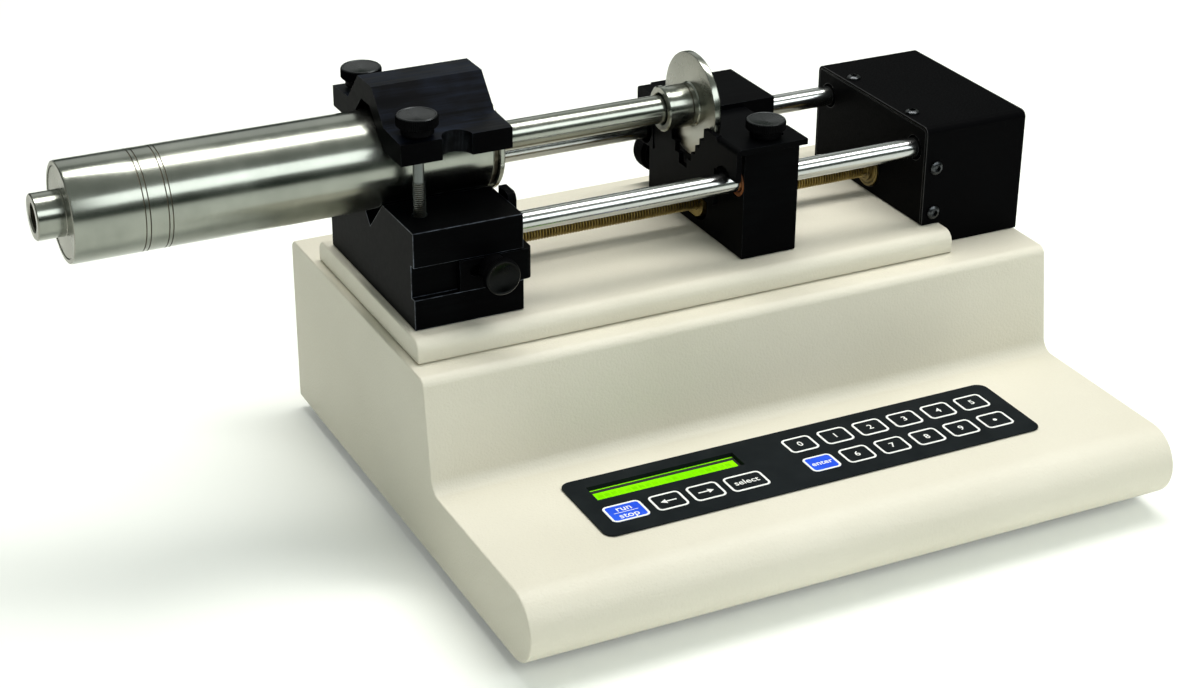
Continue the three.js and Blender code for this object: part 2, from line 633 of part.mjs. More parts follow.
// ---------------------------------------------------------------- motor box
// The cover's outline seen along X, drawn inwards by the inset and down to the floor height.
function coverOutline(inset, floor) {
  const { front, back, top, corner } = motorBox;
  const shape = new THREE.Shape();
  shape.moveTo(front + inset, floor);
  shape.lineTo(back - inset, floor);
  shape.lineTo(back - inset, top - corner);
  shape.absarc(back - corner, top - corner, corner - inset, 0, Math.PI / 2);
  shape.lineTo(front + corner, top - inset);
  shape.absarc(front + corner, top - corner, corner - inset, Math.PI / 2, Math.PI);
  return shape;
}
function motorCover() {
  const { left, right, sheet } = motorBox;
  const bottom = housing.top + gap;
  const outside = prismX(coverOutline(0, bottom), left, right, 5);
  const inside = prismX(coverOutline(sheet, bottom - 1), left - 1, right - sheet, 5);
  const deckEnd = deck.right + gap;
  const overDeck = box(left - 1, deckEnd, deck.front - 5, deck.back + 5, bottom - 1, deck.top + gap);
  return outside.subtract(inside).subtract(overDeck);
}
function motorEndPlate() {
  const { left, sheet } = motorBox;
  let panel = prismX(coverOutline(sheet + gap, deck.top + gap), left, left + endPlate.thick, 5);
  for (const centre of rodCentres) {
    panel = panel.subtract(cylinder('x', rod.radius + 0.1, left - 1, left + 9, centre));
  }
  return panel.subtract(cylinder('x', bearing.outer + 0.2, left - 1, left + 9, screwLine));
}
const bearing = { outer: 8.4, inner: screw.journal + 0.1 };
function screwBearing() {
  const left = motorBox.left;
  const { outer, inner } = bearing;
  const right = left + endPlate.thick;
  const profile = [[inner, left - 2.2], [5.6, left - 2.2], [5.6, left - 1],
    [outer, left - 0.6], [outer, right], [inner, right], [inner, left - 2.2]];
  return turned('x', profile, screwLine, 28);
}
// Spur gears drawn as trapezoid teeth; one tooth gap of each faces the other along the line of centres.
const gears = { module: 1.5, screwTeeth: 24, motorTeeth: 12, left: 243.2, right: 249.2 };
function spurGear(teeth, centre, phase) {
  const pitch = gears.module * teeth / 2;
  const tip = pitch + 0.85 * gears.module;
  const root = pitch - 1.15 * gears.module;
  const step = 2 * Math.PI / teeth;
  const points = [];
  for (let i = 0; i < teeth; i += 1) {
    const at = phase + i * step;
    for (const [radius, share] of [[root, -0.32], [tip, -0.1], [tip, 0.1], [root, 0.32]]) {
      const angle = at + share * step;
      points.push([centre[1] + radius * Math.cos(angle), centre[2] + radius * Math.sin(angle)]);
    }
  }
  return prismX(polygon(points), gears.left, gears.right);
}
const gearCentres = (gears.module * (gears.screwTeeth + gears.motorTeeth)) / 2 + 0.1;
const motorTurn = THREE.MathUtils.degToRad(163);
const motor = {
  y: centreY + gearCentres * Math.cos(motorTurn), z: screw.z + gearCentres * Math.sin(motorTurn),
  half: 14, front: 251.2, back: 277.2, shaft: 2.5,
};
function screwGear() {
  const hub = ring('x', screw.journal + 0.1, 7, gears.left - 1.5, gears.right, screwLine, 24);
  const bore = cylinder('x', 6.9, gears.left - 5, gears.right + 5, screwLine);
  const toothed = spurGear(gears.screwTeeth, screwLine, motorTurn).subtract(bore);
  return hub.add(toothed);
}
function motorPinion() {
  const line = [0, motor.y, motor.z];
  const facing = motorTurn + Math.PI + Math.PI / gears.motorTeeth;
  const shaft = cylinder('x', motor.shaft, gears.left, motor.front + 6, line, 24);
  return spurGear(gears.motorTeeth, line, facing).add(shaft);
}
function stepperMotor() {
  const m = motor;
  const body = box(m.front, m.back, m.y - m.half, m.y + m.half, m.z - m.half, m.z + m.half);
  const boss = cylinder('x', 9, m.front - 1.4, m.front + 1, [0, m.y, m.z], 28);
  return body.add(boss).subtract(cylinder('x', m.shaft + gap, m.front - 2, m.front + 7, [0, m.y, m.z], 24));
}

// ---------------------------------------------------------------- assembly
add('housing_shell', housingShell(), paint());
add('base_plate', basePlate(), steel());
const footX = { left: foot.inset, right: housing.width - foot.inset };
const footY = { front: 24, rear: housing.back - foot.inset };
for (const [side, x] of Object.entries(footX)) {
  for (const [end, y] of Object.entries(footY)) {
    add(`foot_${end}_${side}`, footAt(x, y), rubber());
  }
}
add('deck_plate', deckPlate(), paint());
add('power_inlet', powerInlet(), blackPlastic());
add('switch_frame', switchFrame(), blackPlastic());
add('switch_rocker', switchRocker(), blackPlastic());
add('data_socket', dataSocket(), blackPlastic());
add('keypad_overlay', keypadOverlay(), charcoal());
add('switch_board', switchBoard(), boardGreen());
add('display_module', displayModule(), displayGreen());
add('control_board', controlBoard(), boardGreen());
for (const key of keys) {
  add(key.name, keyCap(key), key.blue ? keyBlue() : charcoal());
}
add('holder_block', holderBlock(), blackAnodised());
add('clamp', clampBar(), blackAnodised());
for (const place of clampScrews) {
  add(place.name, thumbScrew(place), blackPlastic());
}
add('barrel_retainer', barrelRetainer(), blackAnodised());
add('barrel_retainer_knob', barrelRetainerKnob(), blackPlastic());
add('syringe_barrel', syringeBarrel(), stainless());
add('syringe_front_cap', frontCap(), stainless());
add('syringe_end_cap', barrelEndCap(), stainless());
add('piston', pistonHead(), stainless());
add('plunger_rod', plungerRod(), stainless());
add('plunger_flange', plungerFlange(), stainless());
add('guide_rod_front', guideRod(rodCentres[0]), chrome());
add('guide_rod_rear', guideRod(rodCentres[1]), chrome());
add('lead_screw', leadScrew(), brass());
add('pusher_block', pusherBlock(), blackAnodised());
add('bush_front', rodBush(rodCentres[0], pusher.right), bronze());
add('bush_rear', rodBush(rodCentres[1], pusher.rearRight), bronze());
add('half_nut', halfNutRing(), brass());
add('release_button', releaseKnob(), blackPlastic());
add('plunger_retainer', plungerRetainer(), blackAnodised());
add('plunger_retainer_knob', plungerRetainerKnob(), blackPlastic());
add('motor_cover', motorCover(), blackAnodised());
add('motor_end_plate', motorEndPlate(), blackAnodised());
add('screw_bearing', screwBearing(), brass());
add('screw_gear', screwGear(), brass());
add('motor_pinion', motorPinion(), steel());
add('stepper_motor', stepperMotor(), steel());

// The pushed-out half of the rocker is the rearmost point.
const rearmost = rockerPivot.y + 5.5 * Math.cos(rockerTilt) + 7.2 * Math.sin(rockerTilt);
pump.position.set(-(syringe.noseTip + motorBox.right) / 2, -(housing.front + rearmost) / 2, foot.height);
pump.name = 'syringe_pump';

export default pump;
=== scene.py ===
"""Looks of a bench syringe pump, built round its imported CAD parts.

Shapes are made in millimetres from the pump's own corner, and placed by the boxes of the CAD nodes.
"""

import json
import math

import bmesh
import bpy
from mathutils import Matrix, Vector


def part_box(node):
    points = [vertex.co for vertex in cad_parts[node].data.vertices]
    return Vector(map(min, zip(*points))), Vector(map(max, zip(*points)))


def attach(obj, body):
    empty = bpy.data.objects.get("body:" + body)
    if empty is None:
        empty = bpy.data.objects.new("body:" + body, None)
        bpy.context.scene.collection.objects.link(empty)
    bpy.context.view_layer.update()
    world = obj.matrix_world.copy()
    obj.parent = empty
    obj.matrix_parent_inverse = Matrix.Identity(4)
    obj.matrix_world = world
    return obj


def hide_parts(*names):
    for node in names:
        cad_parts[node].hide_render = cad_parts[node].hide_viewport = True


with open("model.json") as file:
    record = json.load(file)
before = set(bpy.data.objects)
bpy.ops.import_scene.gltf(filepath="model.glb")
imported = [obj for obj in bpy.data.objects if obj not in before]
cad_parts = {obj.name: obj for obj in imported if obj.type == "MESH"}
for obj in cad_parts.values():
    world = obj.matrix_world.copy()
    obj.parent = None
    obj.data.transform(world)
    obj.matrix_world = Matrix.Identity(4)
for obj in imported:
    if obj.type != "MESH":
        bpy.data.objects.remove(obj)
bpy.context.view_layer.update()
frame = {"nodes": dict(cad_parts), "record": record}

record = frame["record"]
BODY = {n: body for body, members in record["behaviour"]["bodies"].items() for n in members}
TURN = 2 * math.pi


# The pump's own corner: its left panel, the line REAR in front of its back panel, its underside.
REAR = 227.5
shell_low, shell_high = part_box("housing_shell")
ORIGIN = Vector((shell_low.x, shell_high.y - REAR / 1000, shell_low.z)) * 1000


class Box:
    """The box of a CAD node, in millimetres from the pump's own corner, and the lines through its middle."""

    def __init__(self, node):
        low, high = (corner * 1000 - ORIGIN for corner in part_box(node))
        self.x0, self.y0, self.z0 = low
        self.x1, self.y1, self.z1 = high
        self.cx, self.cy, self.cz = (low + high) / 2
        self.on_x, self.on_y, self.on_z = (self.cy, self.cz), (self.cx, self.cz), (self.cx, self.cy)
        self.wide, self.deep, self.high = high - low


B = {name: Box(name) for name in frame["nodes"]}


# ---- outlines
def fillet(corners, steps=6):
    """Points of a closed outline. A corner given as (u, v, r) is rounded to radius r."""
    points = []
    for i, corner in enumerate(corners):
        here = Vector(corner[:2])
        radius = corner[2] if len(corner) > 2 else 0
        if not radius:
            points.append(tuple(here))
            continue
        before = (Vector(corners[i - 1][:2]) - here).normalized()
        after = (Vector(corners[(i + 1) % len(corners)][:2]) - here).normalized()
        half = before.angle(after) / 2
        centre = here + (before + after).normalized() * (radius / math.sin(half))
        start = here + before * (radius / math.tan(half)) - centre
        sweep = start.angle_signed(here + after * (radius / math.tan(half)) - centre)
        for k in range(steps + 1):
            turn = -sweep * k / steps
            u = start.x * math.cos(turn) - start.y * math.sin(turn)
            v = start.x * math.sin(turn) + start.y * math.cos(turn)
            points.append((centre.x + u, centre.y + v))
    return points


def rounded_rect(u0, u1, v0, v1, r, steps=6):
    return fillet([(u0, v0, r), (u1, v0, r), (u1, v1, r), (u0, v1, r)], steps)


# ---- solids
PLACE = {
    "x": lambda u, v, d: (d, u, v),
    "y": lambda u, v, d: (u, d, v),
    "z": lambda u, v, d: (u, v, d),
}


def closed(bm):
    """The solid with its seams merged and its faces turned outwards."""
    bmesh.ops.remove_doubles(bm, verts=bm.verts, dist=1e-5)
    bmesh.ops.recalc_face_normals(bm, faces=bm.faces)
    return bm


def prism(axis, outline, a, b):
    """An outline in the two other axes, pulled along this one."""
    bm = bmesh.new()
    rings = [[bm.verts.new(PLACE[axis](u, v, d)) for u, v in outline] for d in (a, b)]
    bm.faces.new(rings[0])
    bm.faces.new(rings[1])
    n = len(outline)
    for i in range(n):
        j = (i + 1) % n
        bm.faces.new((rings[0][i], rings[0][j], rings[1][j], rings[1][i]))
    return closed(bm)


def block(x0, x1, y0, y1, z0, z1):
    return prism("z", [(x0, y0), (x1, y0), (x1, y1), (x0, y1)], z0, z1)


def filled(box):
    """A block that fills a box."""
    return block(box.x0, box.x1, box.y0, box.y1, box.z0, box.z1)


def turned(axis, centre, profile, sides=96, relief=None):
    """A lathed solid. The profile is (radius, distance) pairs from axis to axis, or a closed ring.
    relief(turn, distance, radius) is taken off the radius, for knurling."""
    loop = profile[0][0] > 1e-9
    bm = bmesh.new()
    rows = []
    for r, d in profile:
        row = []
        for i in range(sides):
            a = TURN * i / sides
            rr = r - (relief(a, d, r) if relief else 0)
            u, v = rr * math.cos(a), rr * math.sin(a)
            row.append(bm.verts.new(PLACE[axis](centre[0] + u, centre[1] + v, d)))
        rows.append(row)
    pairs = list(zip(rows, rows[1:])) + ([(rows[-1], rows[0])] if loop else [])
    for one, two in pairs:
        for i in range(sides):
            j = (i + 1) % sides
            bm.faces.new((one[i], one[j], two[j], two[i]))
    bmesh.ops.dissolve_degenerate(bm, dist=1e-6, edges=bm.edges)
    return closed(bm)


def from_end(end, pairs, way=1):
    """A lathe profile whose distances are measured from one end, one way."""
    return [(r, end + way * d) for r, d in pairs]


def rod(axis, centre, r, a, b, chamfer=0.0, sides=64):
    c = chamfer
    ends = [(r - c, a), (r, a + c), (r, b - c), (r - c, b)] if c else [(r, a), (r, b)]
    return turned(axis, centre, [(0, a), *ends, (0, b)], sides)


def threaded(axis, centre, r, depth, pitch, a, b, sides=40):
    """A right-handed screw thread between two flat ends. Its root takes the second material."""
    bm = bmesh.new()
    levels = [(0.0, r - depth), (0.22, r), (0.48, r), (0.7, r - depth)]
    turns = int((b - a) / pitch) + 3
    rows = []
    for j in range(turns * sides + 1):
        angle = TURN * j / sides
        d = a - 1.5 * pitch + pitch * j / sides
        u, v = math.cos(angle), math.sin(angle)
        section = [(centre[0] + q * u, centre[1] + q * v, d + s * pitch) for s, q in levels]
        rows.append([bm.verts.new(PLACE[axis](*place)) for place in section])
    for j in range(turns * sides):
        for k in range(4):
            if k < 3:
                quad = (rows[j][k], rows[j + 1][k], rows[j + 1][k + 1], rows[j][k + 1])
            elif j + sides + 1 < len(rows):
                quad = (rows[j][3], rows[j + 1][3], rows[j + 1 + sides][0], rows[j + sides][0])
            else:
                continue
            bm.faces.new(quad).material_index = 1 if k == 3 else 0
    along = Vector(PLACE[axis](0, 0, 1))
    for at, way in ((a, -1), (b, 1)):
        bmesh.ops.bisect_plane(bm, geom=bm.verts[:] + bm.edges[:] + bm.faces[:], dist=1e-5,
                               plane_co=along * at, plane_no=along * way, clear_outer=True)
    bmesh.ops.holes_fill(bm, edges=[e for e in bm.edges if e.is_boundary], sides=0)
    return closed(bm)


def link(obj):
    """Puts an object in the scene."""
    bpy.context.scene.collection.objects.link(obj)


def combine(bm, others, operation="DIFFERENCE"):
    """The solid with each of the others cut from it, or joined to it."""
    for other in others:
        objs = []
        for source in (bm, other):
            mesh = bpy.data.meshes.new("work")
            source.to_mesh(mesh)
            source.free()
            obj = bpy.data.objects.new("work", mesh)
            link(obj)
            objs.append(obj)
        modifier = objs[0].modifiers.new("cut", "BOOLEAN")
        modifier.object = objs[1]
        modifier.operation = operation
        modifier.solver = "EXACT"
        graph = bpy.context.evaluated_depsgraph_get()
        bm = bmesh.new()
        bm.from_object(objs[0], graph)
        for obj in objs:
            mesh = obj.data
            bpy.data.objects.remove(obj)
            bpy.data.meshes.remove(mesh)
    bmesh.ops.dissolve_degenerate(bm, dist=1e-4, edges=bm.edges)
    return bm


def cut(bm, *others):
    return combine(bm, others)


def join(bm, *others):
    return combine(bm, others, "UNION")


def soften(bm, width=0.35, segments=2, angle=28, where=None, bevel_material=True):
    """Rounds the sharp edges. The rounded strips take the piece's second material, which on the black parts
    is lighter: edge wear and a painted highlight.
    """
    limit = math.radians(angle)
    edges = [e for e in bm.edges if e.is_manifold and e.calc_face_angle(0) > limit]
    if where:
        edges = [e for e in edges if where((e.verts[0].co + e.verts[1].co) / 2)]
    bmesh.ops.bevel(bm, geom=edges, offset=width, segments=segments, profile=0.5, affect="EDGES",
                    clamp_overlap=True, material=1 if bevel_material else -1)
    return bm


# ---- materials
def linear(channel):
    """One channel of a screen colour, 0 to 255, as linear light."""
    c = channel / 255
    return c / 12.92 if c <= 0.04045 else ((c + 0.055) / 1.055) ** 2.4


def rgb(*channels):
    """A screen colour as linear light."""
    return tuple(linear(channel) for channel in channels)


def node(tree, kind, inputs=None, **settings):
    made = tree.nodes.new(kind)
    for key, value in settings.items():
        setattr(made, key, value)
    for key, value in (inputs or {}).items():
        if isinstance(value, bpy.types.NodeSocket):
            tree.links.new(value, made.inputs[key])
        else:
            made.inputs[key].default_value = value
    return made


def from_axis(tree, axis):
    """The distance from the piece's axis, for rings on a turned face."""
    coords = node(tree, "ShaderNodeTexCoord").outputs["Object"]
    flat = {"x": (0, 1, 1), "y": (1, 0, 1), "z": (1, 1, 0)}[axis]
    across = node(tree, "ShaderNodeVectorMath", {0: coords, 1: flat}, operation="MULTIPLY").outputs[0]
    radius = node(tree, "ShaderNodeVectorMath", {0: across}, operation="LENGTH").outputs["Value"]
    return node(tree, "ShaderNodeCombineXYZ", {"X": radius}).outputs[0]


def noise(tree, scale, detail=3.0, stretch=(1, 1, 1), rough=0.5, coords=None):
    """Noise in the piece's own coordinates. The scale is in lumps per metre."""
    coords = coords or node(tree, "ShaderNodeTexCoord").outputs["Object"]
    mapped = node(tree, "ShaderNodeMapping", {"Vector": coords, "Scale": stretch}).outputs["Vector"]
    return node(tree, "ShaderNodeTexNoise",
                {"Vector": mapped, "Scale": scale, "Detail": detail, "Roughness": rough}).outputs["Fac"]


def ramp(tree, fac, low, high, start=0.35, end=0.65):
    """Blends two colours across part of a noise's range."""
    made = node(tree, "ShaderNodeValToRGB", {"Fac": fac})
    for element, position, colour in zip(made.color_ramp.elements, (start, end), (low, high)):
        element.position = position
        element.color = (*colour, 1)
    return made.outputs["Color"]


def spread(tree, fac, low, high, start=0.35, end=0.65):
    """Turns part of a noise's range into a range of values."""
    inputs = {"Value": fac, "From Min": start, "From Max": end, "To Min": low, "To Max": high}
    return node(tree, "ShaderNodeMapRange", inputs).outputs["Result"]


def bumps(tree, layers):
    """Stacks bump layers of (height, depth in millimetres, strength)."""
    normal = None
    for height, depth, strength in layers:
        inputs = {"Height": height, "Distance": depth / 1000, "Strength": strength}
        if normal:
            inputs["Normal"] = normal
        normal = node(tree, "ShaderNodeBump", inputs).outputs["Normal"]
    return normal


def surface(name, colour, roughness, metallic=0.0, build=None, **sockets):
    """A material. build(tree, shader) adds the procedural detail."""
    made = bpy.data.materials.new(name)
    made.use_nodes = True
    made.diffuse_color = (*colour, 1)
    tree = made.node_tree
    shader = tree.nodes["Principled BSDF"]
    values = {"Base Color": (*colour, 1), "Roughness": roughness, "Metallic": metallic, **sockets}
    for key, value in values.items():
        shader.inputs[key].default_value = value
    if build:
        build(tree, shader)
    return made


def wire(tree, shader, **links):
    names = {"colour": "Base Color", "rough": "Roughness", "normal": "Normal", "tangent": "Tangent"}
    for key, socket in links.items():
        tree.links.new(socket, shader.inputs[names[key]])


def powder_coat(low, high, lump, depth):
    """Textured paint: fine lumps, with a slow drift in shade."""
    def build(tree, shader):
        drift = noise(tree, 14, 2)
        lumps = noise(tree, lump, 1.5)
        grain = noise(tree, lump * 2.7, 1)
        wire(tree, shader, colour=ramp(tree, drift, low, high, 0.3, 0.7),
             rough=spread(tree, lumps, 0.44, 0.6),
             normal=bumps(tree, [(lumps, depth, 0.8), (grain, depth * 0.4, 0.6)]))
    return build


def anodised(low, high, stretch, bump, rough_low=0.34, rough_high=0.52):
    """Dyed aluminium: long machining marks and a cloudy sheen."""
    def build(tree, shader):
        cloud = noise(tree, 60, 4)
        marks = noise(tree, 420, 3, stretch, 0.65)
        mixed = node(tree, "ShaderNodeMath", {0: cloud, 1: marks}, operation="MULTIPLY").outputs[0]
        fine = noise(tree, 2600, 2)
        wire(tree, shader, colour=ramp(tree, mixed, low, high, 0.18, 0.4),
             rough=spread(tree, marks, rough_low, rough_high),
             normal=bumps(tree, [(marks, bump, 0.5), (fine, 0.006, 0.5)]))
    return build


def lathe_marks(axis, low, high, rough_low, rough_high, pitch=2600, bump=0.004, faced=False):
    """Fine rings left by turning about an axis, spaced along it or, on a faced end, out from it."""
    stretch = {"x": (1, 0.02, 0.02), "y": (0.02, 1, 0.02), "z": (0.02, 0.02, 1)}[axis]
    def build(tree, shader):
        if faced:
            rings = noise(tree, pitch, 2, rough=0.7, coords=from_axis(tree, axis))
        else:
            rings = noise(tree, pitch, 2, stretch, 0.7)
        cloud = noise(tree, 40, 5, rough=0.6)
        tangent = node(tree, "ShaderNodeTangent", direction_type="RADIAL", axis=axis.upper())
        wire(tree, shader, colour=ramp(tree, cloud, low, high, 0.3, 0.7),
             rough=spread(tree, cloud, rough_low, rough_high),
             normal=bumps(tree, [(rings, bump, 0.5)]), tangent=tangent.outputs["Tangent"])
    return build


def mottled(low, high, scale, rough_low, rough_high, bump=0.01, bump_scale=1500):
    """Plain mottling, for plastic, rubber, film and brass."""
    def build(tree, shader):
        cloud = noise(tree, scale, 3)
        fine = noise(tree, bump_scale, 2)
        wire(tree, shader, colour=ramp(tree, cloud, low, high),
             rough=spread(tree, fine, rough_low, rough_high),
             normal=bumps(tree, [(fine, bump, 0.5)]))
    return build


def coated(name, colour, roughness, low, high, *marks, **sockets):
    """A powder-coated material."""
    build = powder_coat(rgb(*low), rgb(*high), *marks)
    return surface(name, rgb(*colour), roughness, 0, build, **sockets)


def dyed(name, roughness, low, high, marks, **sockets):
    """Black aluminium."""
    return surface(name, BLACK, roughness, 0, anodised(low, high, *marks), **sockets)


def plain(name, colour, roughness, metallic, low, high, *marks, **sockets):
    """A material with plain mottling."""
    build = mottled(rgb(*low), rgb(*high), *marks)
    return surface(name, rgb(*colour), roughness, metallic, build, **sockets)


def lathed(name, colour, roughness, axis, low, high, *marks, **sockets):
    """A turned metal."""
    build = lathe_marks(axis, rgb(*low), rgb(*high), *marks)
    return surface(name, rgb(*colour), roughness, 1.0, build, **sockets)


BLACK = rgb(3, 3, 4)
DULL, VERY_DULL = {"Specular IOR Level": 0.2}, {"Specular IOR Level": 0.014}
BRUSHED = {"Anisotropic": 0.4, "Anisotropic Rotation": 0.25}
FACED = {"Anisotropic": 0.8, "Anisotropic Rotation": 0.0}
cream = coated("cream_powder_coat", (219, 214, 197), 0.5, (214, 209, 192), (221, 216, 200), 1050, 0.17)
anodised_block = dyed("black_anodised", 0.42, BLACK, rgb(6, 7, 8), ((0.06, 1, 1), 0.001, 0.42, 0.47),
                      **VERY_DULL)
# The clamp's up-facing faces: milling marks, and a lighter bluish tone as painted sheen from the light
# above.
slope_milled_and_painted_sheen = dyed("black_anodised_slope_painted_sheen", 0.4, rgb(4, 5, 8), rgb(20, 26, 38), ((0.05, 1, 1), 0.02),
                      **{"Specular IOR Level": 0.06})
# Lighter strips for the rounded edges of the black parts: edge wear, and a painted highlight along each
# edge.
bevel_wear_and_highlight = plain("anodised_bevel_wear_and_highlight", (44, 47, 54), 0.3, 0.6, (26, 28, 33), (74, 80, 90), 260, 0.26, 0.4)
black_coat = coated("black_powder_coat", (5, 5, 6), 0.5, (4, 4, 5), (7, 7, 8), 1500, 0.04, **VERY_DULL)
coat_bevel_wear_and_highlight = plain("black_coat_bevel_wear_and_highlight", (18, 20, 22), 0.42, 0, (14, 15, 17), (28, 30, 33), 300, 0.38, 0.5)
stainless = lathed("turned_stainless", (157, 160, 151), 0.24, "x", (134, 137, 129), (157, 160, 151),
                   0.18, 0.25, 1900, 0.008, **BRUSHED)
stainless_face = lathed("faced_stainless", (162, 160, 151), 0.3, "x", (142, 141, 132), (162, 160, 151),
                        0.26, 0.3, 1500, 0.008, True, **FACED)
# Painted shade for the root of the lead screw's thread.
root_painted_shade = plain("screw_root_painted_shade", (28, 24, 12), 0.7, 0.2, (22, 19, 9), (34, 29, 15), 400, 0.6, 0.8)
groove_dark = plain("groove_shadow", (88, 84, 72), 0.5, 1.0, (70, 66, 56), (106, 100, 86), 400, 0.4, 0.6)
chrome = lathed("polished_rod", (184, 186, 184), 0.17, "x", (176, 178, 176), (190, 192, 190),
                0.15, 0.2, 1800, 0.0006)
zinc = plain("zinc_steel", (168, 170, 172), 0.3, 1.0, (140, 142, 146), (186, 188, 190), 180, 0.24, 0.42)
stud_steel = lathed("stud_steel", (98, 101, 100), 0.3, "z", (86, 90, 90), (112, 116, 114), 0.24, 0.34)
screw_brass = plain("screw_brass", (156, 136, 78), 0.38, 1.0, (138, 119, 66), (174, 153, 92),
                    240, 0.32, 0.48)
brass = lathed("machined_brass", (126, 110, 70), 0.34, "x", (106, 92, 56), (146, 130, 84), 0.3, 0.42)
bronze = plain("sintered_bronze", (164, 102, 62), 0.42, 1.0, (140, 82, 48), (186, 122, 78),
               500, 0.36, 0.52, 0.02)
oxide = plain("black_oxide_screw", (58, 60, 62), 0.28, 1.0, (44, 46, 48), (78, 80, 82), 500, 0.22, 0.36)
knob_side = plain("black_knob", (6, 6, 7), 0.4, 0, (5, 5, 6), (9, 9, 10), 300, 0.34, 0.5, **VERY_DULL)
rubber = plain("foot_rubber", (24, 24, 25), 0.85, 0, (20, 20, 21), (32, 32, 33), 200, 0.78, 0.92, 0.04)
film = plain("keypad_film", (26, 30, 32), 0.45, 0, (24, 28, 30), (29, 33, 35),
             90, 0.4, 0.5, 0.008, 4200, **VERY_DULL)
blue_film = plain("keypad_blue", (20, 80, 226), 0.42, 0, (16, 74, 220), (26, 88, 232),
                  90, 0.38, 0.48, 0.008, 4200, **DULL)
white_ink = plain("white_ink", (240, 241, 238), 0.5, 0, (234, 235, 232), (244, 245, 242), 300, 0.45, 0.55)
plastic = plain("black_moulding", (24, 24, 25), 0.38, 0, (21, 21, 22), (29, 29, 30),
                150, 0.32, 0.46, 0.01, 2600)
well = plain("display_well", (12, 13, 12), 0.6, 0, (9, 10, 9), (17, 18, 16), 200, 0.55, 0.7)
gold = plain("gold_contact", (212, 170, 90), 0.25, 1.0, (196, 152, 76), (226, 188, 108), 300, 0.2, 0.34)
board = plain("circuit_board", (30, 92, 52), 0.5, 0, (24, 80, 44), (38, 106, 62), 120, 0.4, 0.6)


def knob_top(axis, low, high):
    """A turned black face, whose marks fan the light out from the middle."""
    build = lathe_marks(axis, low, high, 0.24, 0.3, 1800, 0.01, faced=True)
    return surface(f"black_knob_face_{axis}", high, 0.34, 0.9, build, **FACED)


def lit_display(tree, shader):
    """Yellow-green backlight with a slow drift in shade."""
    cloud = noise(tree, 30, 1)
    colour = ramp(tree, cloud, rgb(112, 208, 0), rgb(140, 228, 4), 0.3, 0.7)
    wire(tree, shader, colour=colour, normal=bumps(tree, [(noise(tree, 900, 1), 0.01, 0.2)]))
    tree.links.new(colour, shader.inputs["Emission Color"])


display_glow = surface("display_green", rgb(150, 220, 16), 0.16, build=lit_display,
                       **{"Emission Strength": 0.34, **VERY_DULL})
cell_ink = plain("display_cell", (112, 198, 0), 0.2, 0, (106, 192, 0), (120, 206, 2), 200, 0.16, 0.24,
                 **{"Emission Color": (*rgb(112, 198, 0), 1), "Emission Strength": 0.3, **VERY_DULL})
top_z = knob_top("z", rgb(34, 36, 37), rgb(54, 56, 57))
# The knob face that looks forward is a darker copy of the upward one, as painted shade.
knob_face_painted_shade = knob_top("y", rgb(9, 10, 10), rgb(16, 17, 17))


# ---- pieces
def show(name, bm, node_name, *materials, stand_in=True, smooth=30, pivot=(0, 0, 0), weighted=True):
    """Puts a solid in the scene, on the body of a CAD node, and hides that node when the solid stands in for
    it.
    Its materials are drawn about the pivot, which a turned piece has on its axis."""
    mesh = bpy.data.meshes.new(name)
    bmesh.ops.recalc_face_normals(bm, faces=bm.faces)
    bm.to_mesh(mesh)
    bm.free()
    mesh.transform(Matrix.Scale(0.001, 4) @ Matrix.Translation(-Vector(pivot)))
    for face in mesh.polygons:
        face.use_smooth = True
    mesh.set_sharp_from_angle(angle=math.radians(smooth))
    obj = bpy.data.objects.new(name, mesh)
    link(obj)
    obj.location = (ORIGIN + Vector(pivot)) / 1000
    for each in materials:
        mesh.materials.append(each)
    if weighted:
        obj.modifiers.new("normals", "WEIGHTED_NORMAL").keep_sharp = True
    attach(obj, BODY[node_name])
    if stand_in:
        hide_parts(node_name)
    return obj


def show_turned(name, bm, node_name, *materials, smooth=20, **settings):
    """A lathed or threaded piece, which keeps its own normals, so that its lines stay crisp."""
    return show(name, bm, node_name, *materials, smooth=smooth, weighted=False, **settings)


def detail(name, bm, node_name, *materials, **settings):
    """A further piece on a node whose main piece is shown by itself."""
    return show(name, bm, node_name, *materials, stand_in=False, **settings)


def ink(name, bm, node_name):
    """A detail in raised white ink."""
    detail(name, bm, node_name, white_ink)


def paint(bm, index, test):
    """Gives the faces whose middle and normal pass the test one of the piece's materials."""
    bm.normal_update()
    for face in bm.faces:
        if test(face.calc_center_median(), face.normal):
            face.material_index = index
    return bm


def carry(node_name, material):
    """A CAD node that stays as it is, with a better material."""
    obj = frame["nodes"][node_name]
    obj.data.materials.clear()
    obj.data.materials.append(material)


def socket_screw(name, node_name, axis, place, way, r=3.0, height=1.6, material=oxide):
    """A button-head screw with a hexagon socket, seated at a place and facing one way along the axis."""
    u, v, d = place
    skirt, reach, floor = 0.25, 0.52 * r, 0.35
    dome = [(0, d), (r, d), (r, d + way * skirt)]
    for a in (0.35, 0.7, 1.0):
        dome.append((r * math.cos(a), d + way * (skirt + (height - skirt) * math.sin(a))))
    dome.append((0, d + way * height))
    corners = [TURN * i / 6 for i in range(6)]
    key = [(u + reach * math.cos(a), v + reach * math.sin(a)) for a in corners]
    head = cut(turned(axis, (u, v), dome, 40), prism(axis, key, d + way * floor, d + way * 3))
    detail(name, head, node_name, material)


# ---- housing
shell, deck = B["housing_shell"], B["deck_plate"]
WALL, DESK_TOP = 1.6, 28.8
NOSE = DESK_TOP / 2
LEAN_FOOT, LEAN_TOP, FLOOR_EDGE = 78.6, 85.0, 5.2
LEAN_FOOT_R, TOP_R = 6, 4
inlet, switch, data = B["power_inlet"], B["switch_frame"], B["data_socket"]
pad = B["keypad_overlay"]


